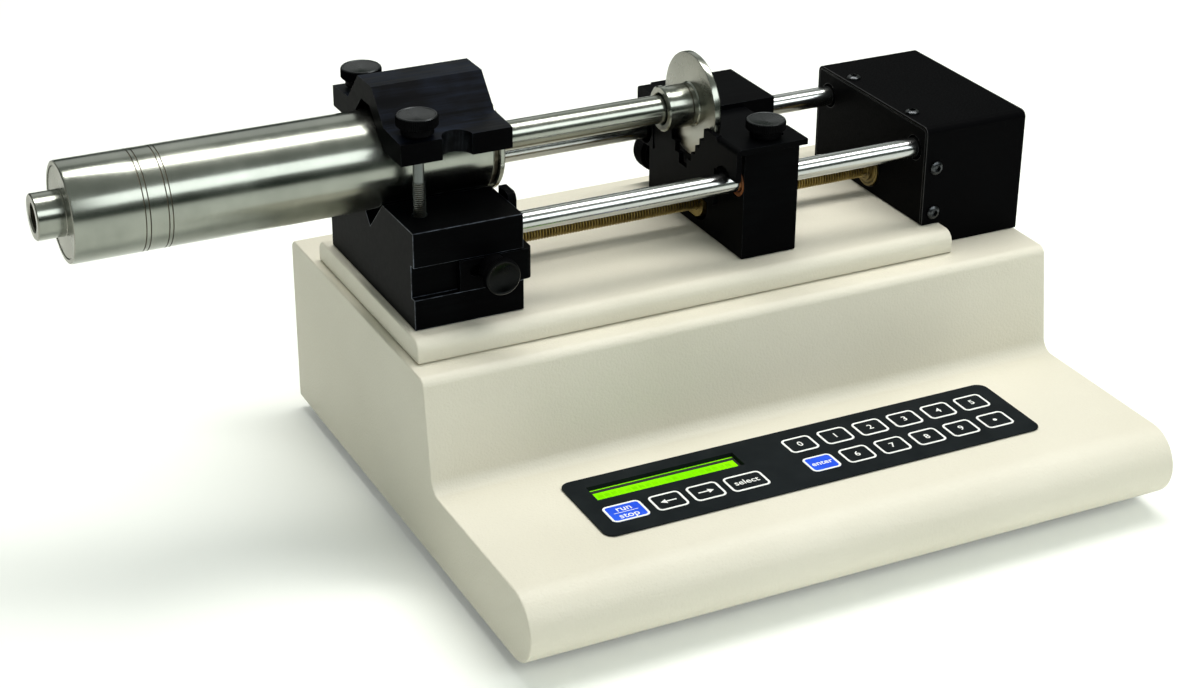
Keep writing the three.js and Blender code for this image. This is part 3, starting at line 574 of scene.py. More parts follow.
def housing_outline(inset):
    """The housing seen along X: a half-round nose, a low desk, a leaning wall and the tall body."""
    front, back = shell.y0 + inset, shell.y1 - inset
    desk, top = DESK_TOP - inset, shell.z1 - inset
    nose, corner, lean = NOSE - inset, TOP_R - inset, 0.9 * inset
    if inset:
        floor = [(back, -1), (FLOOR_EDGE, -1), (FLOOR_EDGE, inset), (front, inset, nose)]
    else:
        floor = [(back, 0, 1.5), (front, 0, nose)]
    return fillet([*floor, (front, desk, nose), (LEAN_FOOT + lean, desk, LEAN_FOOT_R + inset),
                   (LEAN_TOP + lean, top, corner), (back, top, corner)], 12)


def centred(box, half_wide, half_high, y0, y1):
    """A block on the middle of a box, as it is seen from behind."""
    return block(box.cx - half_wide, box.cx + half_wide, y0, y1, box.cz - half_high, box.cz + half_high)


housing = prism("x", housing_outline(0), 0, shell.x1)
housing = soften(housing, 1.3, 3, 60, lambda c: c.x < 0.01 or c.x > shell.x1 - 0.01, bevel_material=False)
housing = cut(housing,
              prism("x", housing_outline(WALL), WALL, shell.x1 - WALL),
              block(pad.x0 + 3, pad.x1 - 3, pad.y0 + 3, pad.y1 - 3, DESK_TOP - 4, DESK_TOP + 1),
              centred(inlet, 13.5, 10, REAR - 4, REAR + 1),
              centred(switch, 6.6, 9.8, REAR - 4, REAR + 1),
              centred(data, 7.4, 6.6, REAR - 4, REAR + 1))
show("housing", housing, "housing_shell", cream)

# The deck plate lies on the housing with a thin dark seam between them.
DECK_R = 5
outline = [(deck.y0, deck.z0), (deck.y0, deck.z1, DECK_R), (deck.y1, deck.z1, DECK_R), (deck.y1, deck.z0)]
solid = prism("x", fillet(outline, 10), deck.x0, deck.x1)
show("deck", soften(solid, 0.8, 3, 50, bevel_material=False), "deck_plate", cream)

base = B["base_plate"]
VENT_HALF, VENT_Y0, VENT_Y1 = 1.4, 96, 126
base_screws = [(x, y) for x in (12, shell.x1 / 2, shell.x1 - 12) for y in (18, REAR - 14)]
vents = [rounded_rect(x - VENT_HALF, x + VENT_HALF, VENT_Y0, VENT_Y1, 1.39) for x in range(84, 200, 9)]
plate_solid = cut(filled(base), *[prism("z", vent, -1, 4) for vent in vents],
                  *[rod("z", at, 3.4, -1, 1.1, 0, 32) for at in base_screws])
show("base", soften(plate_solid, 0.25, 2), "base_plate", zinc, zinc)
for number, (x, y) in enumerate(base_screws):
    socket_screw(f"base_screw_{number}", "base_plate", "z", (x, y, 1.15), -1, 2.8, 1.0, zinc)

for name in ("foot_front_left", "foot_front_right", "foot_rear_left", "foot_rear_right"):
    f = B[name]
    top, bottom = f.z1, f.z0
    profile = from_end(bottom, [(0, 2.4), (3.2, 2.4), (3.4, 0.4), (3.8, 0),
                                (7.0, 0), (7.7, 0.3), (8.0, 1.0)])
    profile += [(7.3, top), (0, top)]
    show(f"rubber_{name}", turned("z", f.on_z, profile, 64), name, rubber, pivot=(f.cx, f.cy, 0))
    washer = from_end(bottom, [(0, 1.9), (2.0, 1.9), (2.9, 1.7), (3.05, 2.35), (0, 2.35)])
    slot = block(f.cx - 2.4, f.cx + 2.4, f.cy - 0.3, f.cy + 0.3, bottom + 1, bottom + 2.1)
    rivet = cut(turned("z", f.on_z, washer, 40), slot)
    detail(f"rivet_{name}", rivet, name, zinc)


# ---- back panel
FLANGE_Y0, BODY_Y1 = REAR + 0.3, REAR + 0.4


def flanged(box, corner, edge, half_wide, half_high):
    """A moulding with a thin flange on the back panel and a narrower body through it."""
    flange = prism("y", rounded_rect(box.x0, box.x1, box.z0, box.z1, corner), FLANGE_Y0, box.y1)
    return join(soften(flange, edge, 2, bevel_material=False), centred(box, half_wide, half_high, box.y0, BODY_Y1))


body = flanged(inlet, 2.2, 0.35, 13.2, 9.7)
mouth = [(-10, -7), (10, -7), (10, 3), (6, 7), (-6, 7), (-10, 3)]
mouth = prism("y", [(inlet.cx + u, inlet.cz + v) for u, v in mouth], REAR - 12, REAR + 5)
show("inlet", cut(body, mouth), "power_inlet", plastic)
PIN_HALF_WIDE, PIN_HALF_HIGH, PIN_Y0, PIN_Y1 = 0.9, 2, REAR - 12.4, REAR - 2
for number, (dx, dz) in enumerate(((-5, -1.5), (0, 2.5), (5, -1.5))):
    x, z = inlet.cx + dx, inlet.cz + dz
    pin = block(x - PIN_HALF_WIDE, x + PIN_HALF_WIDE, PIN_Y0, PIN_Y1,
                z - PIN_HALF_HIGH, z + PIN_HALF_HIGH)
    detail(f"inlet_pin_{number}", soften(pin, 0.3, 2), "power_inlet", zinc, zinc)

body = flanged(switch, 1.2, 0.35, 6.3, 9.5)
body = cut(body, centred(switch, 5.2, 8.4, REAR - 8.5, REAR + 5))
show("switch_bezel", body, "switch_frame", plastic)

# The rocker's two faces are hollowed a little, and the upper one carries a bar.
TILT = math.radians(9)
PIVOT_Y = REAR - 3
r_box = B["switch_rocker"]


def tipped(y, z):
    """A place on the rocker, turned about its pivot."""
    cos, sin = math.cos(TILT), math.sin(TILT)
    return (PIVOT_Y + y * cos - z * sin, switch.cz + y * sin + z * cos)


upper = [(5.5, 7.2), (4.75, 5.4), (4.32, 3.6), (4.25, 1.8)]
lower = [(y, -z) for y, z in upper]
section = [(4.4, 0), *reversed(upper), (1.5, 7.4), (-2.5, 3), (-2.5, -3), (1.5, -7.4), *lower]
rocker = prism("x", [tipped(y, z) for y, z in section], r_box.x0, r_box.x1)
show("rocker", soften(rocker, 0.3, 2, 35, bevel_material=False), "switch_rocker", plastic)


def rocker_mark(name, outline):
    """An outline in X and in height along the rocker, laid on its hollowed face."""
    bm = bmesh.new()
    layers = []
    for lift in (0.03, -0.3):
        ring = []
        for x, z in outline:
            share = min(abs(z) / 7.2, 1)
            y = 4.4 - 0.9 * share + 2.0 * share ** 2 + lift
            ring.append(bm.verts.new((switch.cx + x, *tipped(y, z))))
        layers.append(ring)
    for i in range(len(outline)):
        j = (i + 1) % len(outline)
        bm.faces.new((layers[0][i], layers[0][j], layers[1][j], layers[1][i]))
    bm.faces.new(layers[0])
    bm.faces.new(layers[1])
    ink(name, closed(bm), "switch_rocker")


rocker_mark("rocker_bar", [(-0.35, 2.6), (0.35, 2.6), (0.35, 5.4), (-0.35, 5.4)])

body = flanged(data, 0.8, 0.3, 7.1, 6.3)
mouth = [(-5, -3.4), (-2, -3.4), (-2, -5.4), (2, -5.4), (2, -3.4), (5, -3.4), (5, 4), (-5, 4)]
mouth = prism("y", [(data.cx + u, data.cz + v) for u, v in mouth], REAR - 11, REAR + 5)
show("data_jack", cut(body, mouth), "data_socket", plastic)
for number in range(6):
    x = data.cx - 2.55 + 1.02 * number
    contact = fillet([(REAR - 10.8, data.cz + 4), (REAR - 1.4, data.cz + 4),
                      (REAR - 8, data.cz + 1.2, 1.2), (REAR - 10.8, data.cz + 0.9)], 4)
    contact = prism("x", contact, x - 0.18, x + 0.18)
    detail(f"data_contact_{number}", contact, "data_socket", gold)


# ---- keypad and display
PAD_TOP = pad.z1
window = Box("display_module")
window_x0, window_x1 = window.x0 + 1.6, window.x1 - 1.6
window_y0, window_y1 = window.y0 + 0.8, window.y1 - 0.6
key_names = [name for name in frame["nodes"] if name.startswith("key_")]
KEY_CORNER, PAD_CORNER = 2.2, 4.5
INK, INK_ROOT = 0.035, 0.1


def key_outline(key, margin):
    """A key's outline with rounded corners, made larger by the margin."""
    return rounded_rect(key.x0 - margin, key.x1 + margin, key.y0 - margin, key.y1 + margin,
                        KEY_CORNER + margin)


sheet = prism("z", rounded_rect(pad.x0, pad.x1, pad.y0, pad.y1, PAD_CORNER, 8), DESK_TOP + 0.3, PAD_TOP)
sheet = soften(sheet, 0.15, 2, bevel_material=False)
sheet = join(sheet, block(pad.x0 + 3.3, pad.x1 - 3.3, pad.y0 + 3.3, pad.y1 - 3.3, pad.z0, DESK_TOP + 0.4))
holes = [prism("z", key_outline(B[name], 0.25), pad.z0 - 1, PAD_TOP + 1) for name in key_names]
holes.append(block(window_x0, window_x1, window_y0, window_y1, pad.z0 - 1, PAD_TOP + 1))
show("keypad_sheet", cut(sheet, *holes), "keypad_overlay", film)


def ring_of(outer, inner, z0, z1):
    """A flat band between two outlines with the same number of points."""
    bm = bmesh.new()
    edges = ((outer, z0), (outer, z1), (inner, z1), (inner, z0))
    loops = [[bm.verts.new((u, v, z)) for u, v in outline] for outline, z in edges]
    n = len(outer)
    for a, b in zip(loops, loops[1:] + loops[:1]):
        for i in range(n):
            j = (i + 1) % n
            bm.faces.new((a[i], a[j], b[j], b[i]))
    return closed(bm)


def lettering(name, text, node_name, x, y, size):
    """Raised ink in the shape of a word or a figure, centred on a key."""
    curve = bpy.data.curves.new(name, "FONT")
    curve.body = text
    curve.size = size
    curve.extrude = INK
    curve.offset = 0.05
    curve.align_x = "CENTER"
    curve.align_y = "CENTER"
    curve.resolution_u = 4
    source = bpy.data.objects.new(name, curve)
    link(source)
    mesh = bpy.data.meshes.new_from_object(source.evaluated_get(bpy.context.evaluated_depsgraph_get()))
    bpy.data.objects.remove(source)
    bpy.data.curves.remove(curve)
    bm = bmesh.new()
    bm.from_mesh(mesh)
    bpy.data.meshes.remove(mesh)
    bmesh.ops.remove_doubles(bm, verts=bm.verts, dist=1e-4)
    bmesh.ops.translate(bm, verts=bm.verts, vec=(x, y, PAD_TOP + 0.02))
    detail(name, bm, node_name, white_ink, smooth=20)


for name in key_names:
    key = B[name]
    blue = name in ("key_run", "key_enter")
    cap = soften(prism("z", key_outline(key, 0), key.z0, key.z1), 0.12, 2, 40, bevel_material=False)
    show(f"cap_{name}", cap, name, blue_film if blue else film)
    band = ring_of(key_outline(key, 0), key_outline(key, -0.9), key.z1 - INK_ROOT, key.z1 + INK)
    ink(f"outline_{name}", band, name)
    if name[4:].isdigit():
        lettering(f"figure_{name}", name[4:], name, key.cx, key.cy, 4.6)

key = B["key_run"]
lettering("word_run", "run", "key_run", key.cx, key.cy + 2.4, 4.7)
lettering("word_stop", "stop", "key_run", key.cx, key.cy - 2.6, 4.7)
line = block(key.cx - 5.0, key.cx + 5.0, key.cy - 0.15, key.cy + 0.15, key.z1 - INK_ROOT, key.z1 + INK)
ink("run_stop_line", line, "key_run")
lettering("word_enter", "enter", "key_enter", B["key_enter"].cx, B["key_enter"].cy, 4.1)
lettering("word_select", "select", "key_select", B["key_select"].cx, B["key_select"].cy, 4.5)
ARROW = [(-3.3, -0.36), (0.9, -0.36), (0.9, -1.5), (3.3, 0), (0.9, 1.5), (0.9, 0.36), (-3.3, 0.36)]
for name, way in (("key_left", -1), ("key_right", 1)):
    key = B[name]
    points = [(key.cx + way * u, key.cy + v) for u, v in ARROW]
    arrow = prism("z", points, key.z1 - INK_ROOT, key.z1 + INK)
    ink(f"arrow_{name}", arrow, name)
key = B["key_point"]
point = rod("z", key.on_z, 0.85, key.z1 - INK_ROOT, key.z1 + INK, 0, 24)
ink("decimal_point", point, "key_point")

# The display lies at the bottom of a dark well. Its lit panel holds two rows of character cells.
glass_top = window.z1
tray = block(window.x0, window.x1, window.y0, window.y1, window.z0, glass_top - 0.25)
show("display_tray", tray, "display_module", well)
lit_x0, lit_x1 = window_x0 + 0.1, window_x1 - 0.1
lit_y0, lit_y1 = window_y0 + 0.1, window_y1 - 0.1
panel = prism("z", rounded_rect(lit_x0, lit_x1, lit_y0, lit_y1, 0.4), glass_top - 0.5, glass_top - 0.1)
detail("display_panel", panel, "display_module", display_glow)
# Two dark strips lie over the lit panel, along its back edge and its right edge, as painted shadow cast by
# the window's walls.
upper_strip = rounded_rect(lit_x0, lit_x1, lit_y1 - 2.5, lit_y1 - 0.8, 0.3)
painted_shadow_strips = [prism("z", upper_strip, glass_top - 0.2, glass_top),
         block(lit_x1 - 1.1, lit_x1, lit_y0, lit_y1 - 2.7, glass_top - 0.2, glass_top)]
for number, strip in enumerate(painted_shadow_strips):
    detail(f"display_painted_shadow_{number}", strip, "display_module", well)
CELLS, ROWS = 20, 2
cell_w, cell_h = (lit_x1 - lit_x0 - 5) / CELLS, (lit_y1 - lit_y0 - 4.4) / ROWS
cells = bmesh.new()
for row in range(ROWS):
    for column in range(CELLS):
        x = lit_x0 + 2 + cell_w * (column + 0.5)
        y = lit_y0 + 0.7 + cell_h * (row + 0.5)
        made = bmesh.ops.create_cube(cells, size=1)["verts"]
        bmesh.ops.scale(cells, verts=made, vec=(cell_w * 0.76, cell_h * 0.8, 0.05))
        bmesh.ops.translate(cells, verts=made, vec=(x, y, glass_top - 0.1))
detail("display_cells", cells, "display_module", cell_ink)


# ---- syringe holder
holder = B["holder_block"]
barrel, nose_cap = B["syringe_barrel"], B["syringe_front_cap"]
AXIS_Y, AXIS_Z = barrel.cy, barrel.cz
RADIUS = barrel.high / 2
V_REACH = (RADIUS + 0.3) * math.sqrt(2)
rods = [B["guide_rod_front"], B["guide_rod_rear"]]
screw = B["lead_screw"]
thumb = [B["clamp_screw_front"], B["clamp_screw_rear"]]
barrel_knob, plate_knob = B["barrel_retainer_knob"], B["plunger_retainer_knob"]

valley = AXIS_Z - V_REACH
half = holder.z1 + 1 - valley
vee = [(AXIS_Y, valley), (AXIS_Y + half, valley + half), (AXIS_Y - half, valley + half)]
GROOVE_BOTTOM, GROOVE_TOP, GROOVE_DEPTH = 95.7, 108.7, 2.8
SCREW_HOLE, PIVOT_HOLE, ROD_HOLE, STUD_HOLE = 3.0, 2.3, 4.35, 2.8
groove_back = holder.y0 + GROOVE_DEPTH
cutters = [prism("x", vee, holder.x0 - 1, holder.x1 + 1),
           block(holder.x0 - 1, holder.x1 + 1, holder.y0 - 1, groove_back, GROOVE_BOTTOM, GROOVE_TOP),
           rod("x", screw.on_x, SCREW_HOLE, screw.x0 - 0.5, holder.x1 + 1, 0, 48),
           rod("y", barrel_knob.on_y, PIVOT_HOLE, holder.y0 - 1, holder.y0 + 16, 0, 48)]
cutters += [rod("x", r.on_x, ROD_HOLE, r.x0 - 0.5, holder.x1 + 1) for r in rods]
cutters += [rod("z", t.on_z, STUD_HOLE, t.z0 - 1, holder.z1 + 1, 0, 48) for t in thumb]
solid = cut(filled(holder), *cutters)
show("holder", soften(solid, 0.3, 2, 40), "holder_block", anodised_block, bevel_wear_and_highlight)

# The clamp is one extrusion with a notch in each ear.
clamp = B["clamp"]
EAR_TOP, ROOF_FOOT, ROOF_HALF, TOP_HALF, APEX_FLAT = 154.4, 155.4, 18.4, 7.0, 159.5
NOTCH_X, NOTCH_R = 28.6, 6
apex = AXIS_Z + V_REACH
ear = clamp.deep / 2
side = [(ear, clamp.z0), (ear, EAR_TOP), (ROOF_HALF, ROOF_FOOT), (TOP_HALF, clamp.z1)]
under = [(apex - APEX_FLAT, APEX_FLAT), (apex - clamp.z0, clamp.z0)]
section = [(AXIS_Y + u, z) for u, z in side] + [(AXIS_Y - u, z) for u, z in reversed(side)]
section += [(AXIS_Y - u, z) for u, z in reversed(under)] + [(AXIS_Y + u, z) for u, z in under]
cutters = [rod("z", t.on_z, STUD_HOLE, clamp.z0 - 1, clamp.z1, 0, 48) for t in thumb]
cutters += [rod("z", (NOTCH_X, y), NOTCH_R, clamp.z0 - 1, clamp.z1, 0, 72) for y in (clamp.y0, clamp.y1)]
solid = soften(cut(prism("x", section, clamp.x0, clamp.x1), *cutters), 0.32, 2, 3)
# The up-facing slopes and ear tops take the lighter bluish material: a painted sheen over the milling marks.
solid = paint(solid, 2, lambda c, n: n.z > 0.3 and c.z > EAR_TOP - 1 and abs(n.x) < 0.1)
show("clamp_shaped", solid, "clamp", anodised_block, bevel_wear_and_highlight, slope_milled_and_painted_sheen)


def knurl(count, depth):
    """Straight knurling: what to take off the radius at each turn about the axis."""
    return lambda turn, distance, radius: depth * (0.5 - 0.5 * math.cos(turn * count)) ** 0.6


def knob_head(axis, centre, seat, top, radius, dish, count=72, waist=1.7, rim=4.4):
    """A thumb knob from seat to top: a narrow hub, a knurled rim and a shallow cone inside a thin lip."""
    way = 1 if top > seat else -1
    hub_top = top - way * (rim + 0.6)
    hub = radius - waist
    profile = [(0, seat), (hub - 0.3, seat), (hub, seat + way * 0.3), (hub, hub_top)]
    profile += from_end(top, [(radius - 0.5, rim), (radius, rim - 0.5), (radius, 0.9), (radius - 0.25, 0.3),
                              (radius - 0.6, 0), (radius - 1.0, 0), (radius - 1.3, 0.2),
                              (0.4, dish), (0, dish)], -way)
    grip = knurl(count, 0.28)

    def relief(turn, distance, r):
        return grip(turn, distance, r) if r > radius - 0.2 else 0

    return turned(axis, centre, profile, count * 4, relief)


# Each thumb screw is a smooth steel stud, threaded in its lower part, with a black dished head.
STUD_R, STUD_THREAD_R, STUD_CUT, STUD_PITCH, STUD_THREAD_TOP = 2.15, 2.5, 0.4, 0.8, 136.0
FACE_DEPTH = 1.9
for name, t in zip(("clamp_screw_front", "clamp_screw_rear"), thumb):
    seat = EAR_TOP + 1.2
    centre, pivot = t.on_z, (t.cx, t.cy, 0)
    head = knob_head("z", centre, seat, t.z1, t.wide / 2, 0.9)
    head = paint(head, 1, lambda c, n: n.z > 0.55 and c.z > t.z1 - FACE_DEPTH)
    show_turned(f"head_{name}", head, name, knob_side, top_z, pivot=pivot)
    stud = rod("z", centre, STUD_R, STUD_THREAD_TOP, seat + 0.2, 0.15, 48)
    show_turned(f"stud_{name}", stud, name, stud_steel, stand_in=False, pivot=pivot)
    worm = threaded("z", centre, STUD_THREAD_R, STUD_CUT, STUD_PITCH,
                    t.z0 + 0.4, STUD_THREAD_TOP + 0.1, 32)
    show_turned(f"thread_{name}", worm, name, stud_steel, groove_dark, stand_in=False, smooth=40,
                pivot=pivot)

# The bent plate behind the barrel: a leg in the front groove and a stepped V across the right face.
bp = B["barrel_retainer"]
STEPS = 5


def stepped_v(half_top, top, fall, above):
    """A V cut in steps from a level down to its point, and open upwards."""
    points = [(half_top, above)]
    for i in range(STEPS):
        reach = half_top * (1 - i / STEPS)
        points += [(reach, top - i * fall), (reach, top - (i + 1) * fall)]
    return [(AXIS_Y + u, z) for u, z in points] + [(AXIS_Y - u, z) for u, z in reversed(points)]


THICK, PRONG_Y = bp.x1 - holder.x1 - 0.3, 119.3
leg_back = bp.y0 + GROOVE_DEPTH + 0.1
leg_top = GROOVE_TOP - 0.3
BEND_R, BEND_REACH = 2.6, 20
SLOT_X0, SLOT_X1, SLOT_HALF, SLOT_R = 28.4, 39.6, 2.4, 2.39
inside = bp.x1 - THICK
bend = fillet([(bp.x0, bp.y0), (bp.x1, bp.y0, BEND_R), (bp.x1, bp.y0 + BEND_REACH),
               (inside, bp.y0 + BEND_REACH), (inside, leg_back), (bp.x0, leg_back)], 8)
leg = prism("z", bend, GROOVE_BOTTOM + 0.3, leg_top)
face = fillet([(bp.y0 + BEND_R, bp.z0), (bp.y1, bp.z0, 10), (bp.y1, bp.z1, 3), (PRONG_Y, bp.z1, 3),
               (PRONG_Y, leg_top, 1.5), (bp.y0 + BEND_R, leg_top)], 10)
slot = rounded_rect(SLOT_X0, SLOT_X1, barrel_knob.cz - SLOT_HALF, barrel_knob.cz + SLOT_HALF, SLOT_R)
plate_solid = cut(join(leg, prism("x", face, inside, bp.x1)),
                  prism("x", stepped_v(20.5, bp.z1 - 1.5, 3.6, bp.z1 + 1), bp.x0, bp.x1 + 1),
                  rod("x", rods[0].on_x, 5.05, bp.x1 - 5, bp.x1 + 1),
                  rod("x", screw.on_x, 6.95, bp.x1 - 5, bp.x1 + 1),
                  prism("y", slot, bp.y0 - 1, leg_back + 1))
plate_solid = soften(plate_solid, 0.25, 2, 40)
show("barrel_plate_shaped", plate_solid, "barrel_retainer", anodised_block, bevel_wear_and_highlight)

k = barrel_knob
seat = holder.y0 - 0.7
head = knob_head("y", k.on_y, seat, k.y0, k.wide / 2, 0.7, 64, 1.6, 4.0)
head = join(head, rod("y", k.on_y, 2, seat - 0.5, k.y1, 0.3, 40))
# Its front face takes the darker copy of the knob face, a painted shade.
head = paint(head, 1, lambda c, n: n.y < -0.55 and c.y < k.y0 + FACE_DEPTH)
show("barrel_plate_knob_head", head, "barrel_retainer_knob", knob_side, knob_face_painted_shade, pivot=(k.cx, 0, k.cz))


# ---- syringe
LINE = (AXIS_Y, AXIS_Z)
ON_AXIS = (0, AXIS_Y, AXIS_Z)
MOUTH, BORE = 17.2, 14.3
GROOVES = (26.2, 27.9, 34.7, 36.2)
GROOVE_HALF, GROOVE_CUT = 0.22, 0.25
SOCKET = 9.5
x0, x1 = barrel.x0, barrel.x1


def off_axis(point):
    """How far a point is from the syringe's axis."""
    return (point.yz - Vector(LINE)).length


profile = [(MOUTH, x0), (RADIUS - 0.7, x0), (RADIUS - 0.2, x0 + 0.25), (RADIUS, x0 + 0.8)]
for g in GROOVES:
    profile += [(RADIUS, x0 + g - GROOVE_HALF), (RADIUS - GROOVE_CUT, x0 + g - GROOVE_HALF * 0.5),
                (RADIUS - GROOVE_CUT, x0 + g + GROOVE_HALF * 0.5), (RADIUS, x0 + g + GROOVE_HALF)]
profile += [(RADIUS, x1 - 0.8), (RADIUS - 0.4, x1 - 0.1), (RADIUS - 0.8, x1), (BORE, x1),
            (BORE, x0 + SOCKET), (MOUTH, x0 + SOCKET)]
solid = turned("x", LINE, profile, 144)
solid = paint(solid, 1, lambda c, n: any(abs(c.x - x0 - g) < GROOVE_HALF for g in GROOVES)
              and off_axis(c) > RADIUS - 1)
solid = paint(solid, 2, lambda c, n: n.x < -0.6 and c.x < x0 + 0.5)
show_turned("barrel", solid, "syringe_barrel", stainless, groove_dark, stainless_face, pivot=ON_AXIS)

tip = nose_cap.x0
NOSE_R, NOSE_BORE, NEEDLE_BORE, TAP_CUT, TAP_PITCH = 8.7, 5.3, 1.5, 0.6, 1.3
outer = MOUTH - 0.06
profile = [(NOSE_BORE + 0.6, tip), (NOSE_R - 0.45, tip), (NOSE_R, tip + 0.45), (NOSE_R, x0 + 0.1)]
profile += [(NOSE_R + 0.2, x0 + 0.3), (outer - 0.3, x0 + 0.3), (outer, x0 + 0.6), (outer, x0 + 9.2)]
profile += [(NEEDLE_BORE, x0 + 9.2), (NEEDLE_BORE, tip + 13), (NOSE_BORE, tip + 9.5),
            (NOSE_BORE, tip + 0.6)]
solid = turned("x", LINE, profile, 120)
tap = threaded("x", LINE, NOSE_BORE + 0.45, TAP_CUT, TAP_PITCH, tip + 1.2, tip + 9.0, 48)
solid = cut(solid, tap)
solid = paint(solid, 1, lambda c, n: n.x < -0.6 and off_axis(c) > NOSE_BORE)
solid = paint(solid, 2, lambda c, n: off_axis(c) < NOSE_BORE + 0.6 and c.x > tip + 1.1)
show_turned("nozzle_cap", solid, "syringe_front_cap", stainless, stainless_face, groove_dark,
            pivot=ON_AXIS)

e0 = barrel.x1
HOLE = 6.1
WAIST, RIM = RADIUS - 1.6, RADIUS + 0.1
profile = [(HOLE, -8), (BORE - 0.3, -8), (BORE - 0.3, 0.1), (WAIST, 0.3), (WAIST, 1.9)]
profile += [(RADIUS - 0.3, 2.0), (RIM, 2.4), (RIM, 3.8), (RADIUS - 0.4, 4.3), (RADIUS - 4, 4.3)]
profile += [(RADIUS - 4.3, 3.9), (HOLE + 1.6, 3.9), (HOLE + 0.5, 3.6), (HOLE, 3.1)]
solid = turned("x", LINE, from_end(e0, profile), 120)
solid = paint(solid, 1, lambda c, n: off_axis(c) < RADIUS - 1 and e0 < c.x < e0 + 1.95)
solid = paint(solid, 2, lambda c, n: abs(n.x) > 0.6 and c.x > e0 + 2)
show_turned("barrel_end", solid, "syringe_end_cap", stainless, groove_dark, stainless_face, pivot=ON_AXIS)

pr = B["plunger_rod"]
shaft = rod("x", LINE, pr.high / 2, pr.x0, pr.x1, 0.3, 96)
show_turned("plunger_shaft", shaft, "plunger_rod", stainless, pivot=ON_AXIS)

fl = B["plunger_flange"]
DISC_R, COLLAR_R, BODY_R, COLLAR_HOLE = fl.high / 2, 9.2, 8.75, 6.5
disc = fl.x1 - 3.0
neck = BODY_R - 0.35
profile = [(COLLAR_HOLE, fl.x0 + 0.3), (COLLAR_HOLE + 0.3, fl.x0), (COLLAR_R - 0.5, fl.x0),
           (COLLAR_R, fl.x0 + 0.5), (COLLAR_R, fl.x0 + 2.1), (BODY_R, fl.x0 + 2.4)]
profile += from_end(disc, [(BODY_R, -2.75), (neck, -2.65), (neck, -2.35), (BODY_R, -2.25), (BODY_R, -0.5),
                           (BODY_R + 0.5, 0), (DISC_R - 0.6, 0), (DISC_R - 0.15, 0.15), (DISC_R, 0.6)])
profile += [(DISC_R, fl.x1 - 0.6), (DISC_R - 0.5, fl.x1), (0, fl.x1), (0, pr.x1 + 0.3),
            (COLLAR_HOLE, pr.x1 + 0.3)]
solid = turned("x", LINE, profile, 144)
solid = paint(solid, 1, lambda c, n: abs(n.x) > 0.9)
solid = paint(solid, 2, lambda c, n: abs(c.x - disc + 2.5) < 0.2 and off_axis(c) < BODY_R - 0.1)
show_turned("flange", solid, "plunger_flange", stainless, stainless_face, groove_dark, pivot=ON_AXIS)


# ---- guide rods and lead screw
for name, r in zip(("guide_rod_front", "guide_rod_rear"), rods):
    ground = rod("x", r.on_x, r.high / 2, r.x0, r.x1, 0.4, 72)
    show_turned(f"ground_{name}", ground, name, chrome, pivot=(0, r.cy, r.cz))

SCREW_LINE = screw.on_x
ON_SCREW = (0, *SCREW_LINE)
JOURNAL, SHOULDER, THREAD_END, LAP = 2.9, 52.0, B["motor_end_plate"].x0 - 4, 0.4
PITCH, THREAD_DEPTH = 1.27, 0.75
profile = [(0, screw.x0), (JOURNAL, screw.x0 + 0.3), (JOURNAL, SHOULDER + LAP), (0, SHOULDER + LAP)]
shaft = turned("x", SCREW_LINE, profile, 48)
show_turned("screw_left_journal", shaft, "lead_screw", screw_brass, stand_in=False, pivot=ON_SCREW)
profile = [(0, THREAD_END - LAP), (JOURNAL, THREAD_END - LAP), (JOURNAL, screw.x1 - 0.3),
           (JOURNAL - 0.3, screw.x1), (0, screw.x1)]
shaft = turned("x", SCREW_LINE, profile, 48)
show_turned("screw_right_journal", shaft, "lead_screw", screw_brass, stand_in=False, pivot=ON_SCREW)
worm = threaded("x", SCREW_LINE, screw.high / 2, THREAD_DEPTH, PITCH, SHOULDER, THREAD_END, 40)
# The root of the thread takes the painted shade.
show_turned("screw_thread", worm, "lead_screw", screw_brass, root_painted_shade, smooth=40, pivot=ON_SCREW)


# ---- pusher
pusher, nut, button = B["pusher_block"], B["half_nut"], B["release_button"]
LIP = 6.1
P_LEFT, P_RIGHT, STEP_Y, LIP_Y, LIP_Z, FRONT_TOP = pusher.x0 + LIP, 172.6, 152.9, 175.2, 108.0, 129.3
NUT_R, NUT_ROOM, NUT_TRAVEL = 7.0, 4.0, 3.5
BUSH_HOLE, NUT_HOLE, STEM_HOLE = 6.4, 5.35, 3.3


def long_hole(r, y0, y1, z):
    """A hole with round ends whose centres are at y0 and y1."""
    return rounded_rect(y0 - r, y1 + r, z - r, z + r, r - 0.001, 16)


solid = block(P_LEFT, P_RIGHT, pusher.y0, STEP_Y + 2, pusher.z0, FRONT_TOP)
solid = join(solid, block(P_LEFT, pusher.x1, STEP_Y, pusher.y1, pusher.z0, pusher.z1))
lip = fillet([(LIP_Y, LIP_Z), (pusher.y1, LIP_Z), (pusher.y1, pusher.z1, 2), (LIP_Y, pusher.z1)], 6)
solid = join(solid, prism("x", lip, pusher.x0, P_LEFT + 1))
nut_room = long_hole(NUT_R + 0.4, AXIS_Y - NUT_TRAVEL, AXIS_Y + NUT_ROOM, screw.cz)
cutters = [rod("x", r.on_x, BUSH_HOLE, pusher.x0 - 2, pusher.x1 + 1) for r in rods]
cutters += [rod("x", SCREW_LINE, NUT_HOLE, P_LEFT - 1, pusher.x1 + 1),
            prism("x", nut_room, P_LEFT - 1, P_RIGHT + 1),
            rod("y", button.on_y, STEM_HOLE, AXIS_Y + 7, pusher.y1 + 1, 0, 48),
            rod("z", plate_knob.on_z, PIVOT_HOLE, plate_knob.z0 - 0.6, pusher.z1, 0, 40)]
solid = cut(solid, *cutters)
show("pusher", soften(solid, 0.35, 2, 40), "pusher_block", anodised_block, bevel_wear_and_highlight)

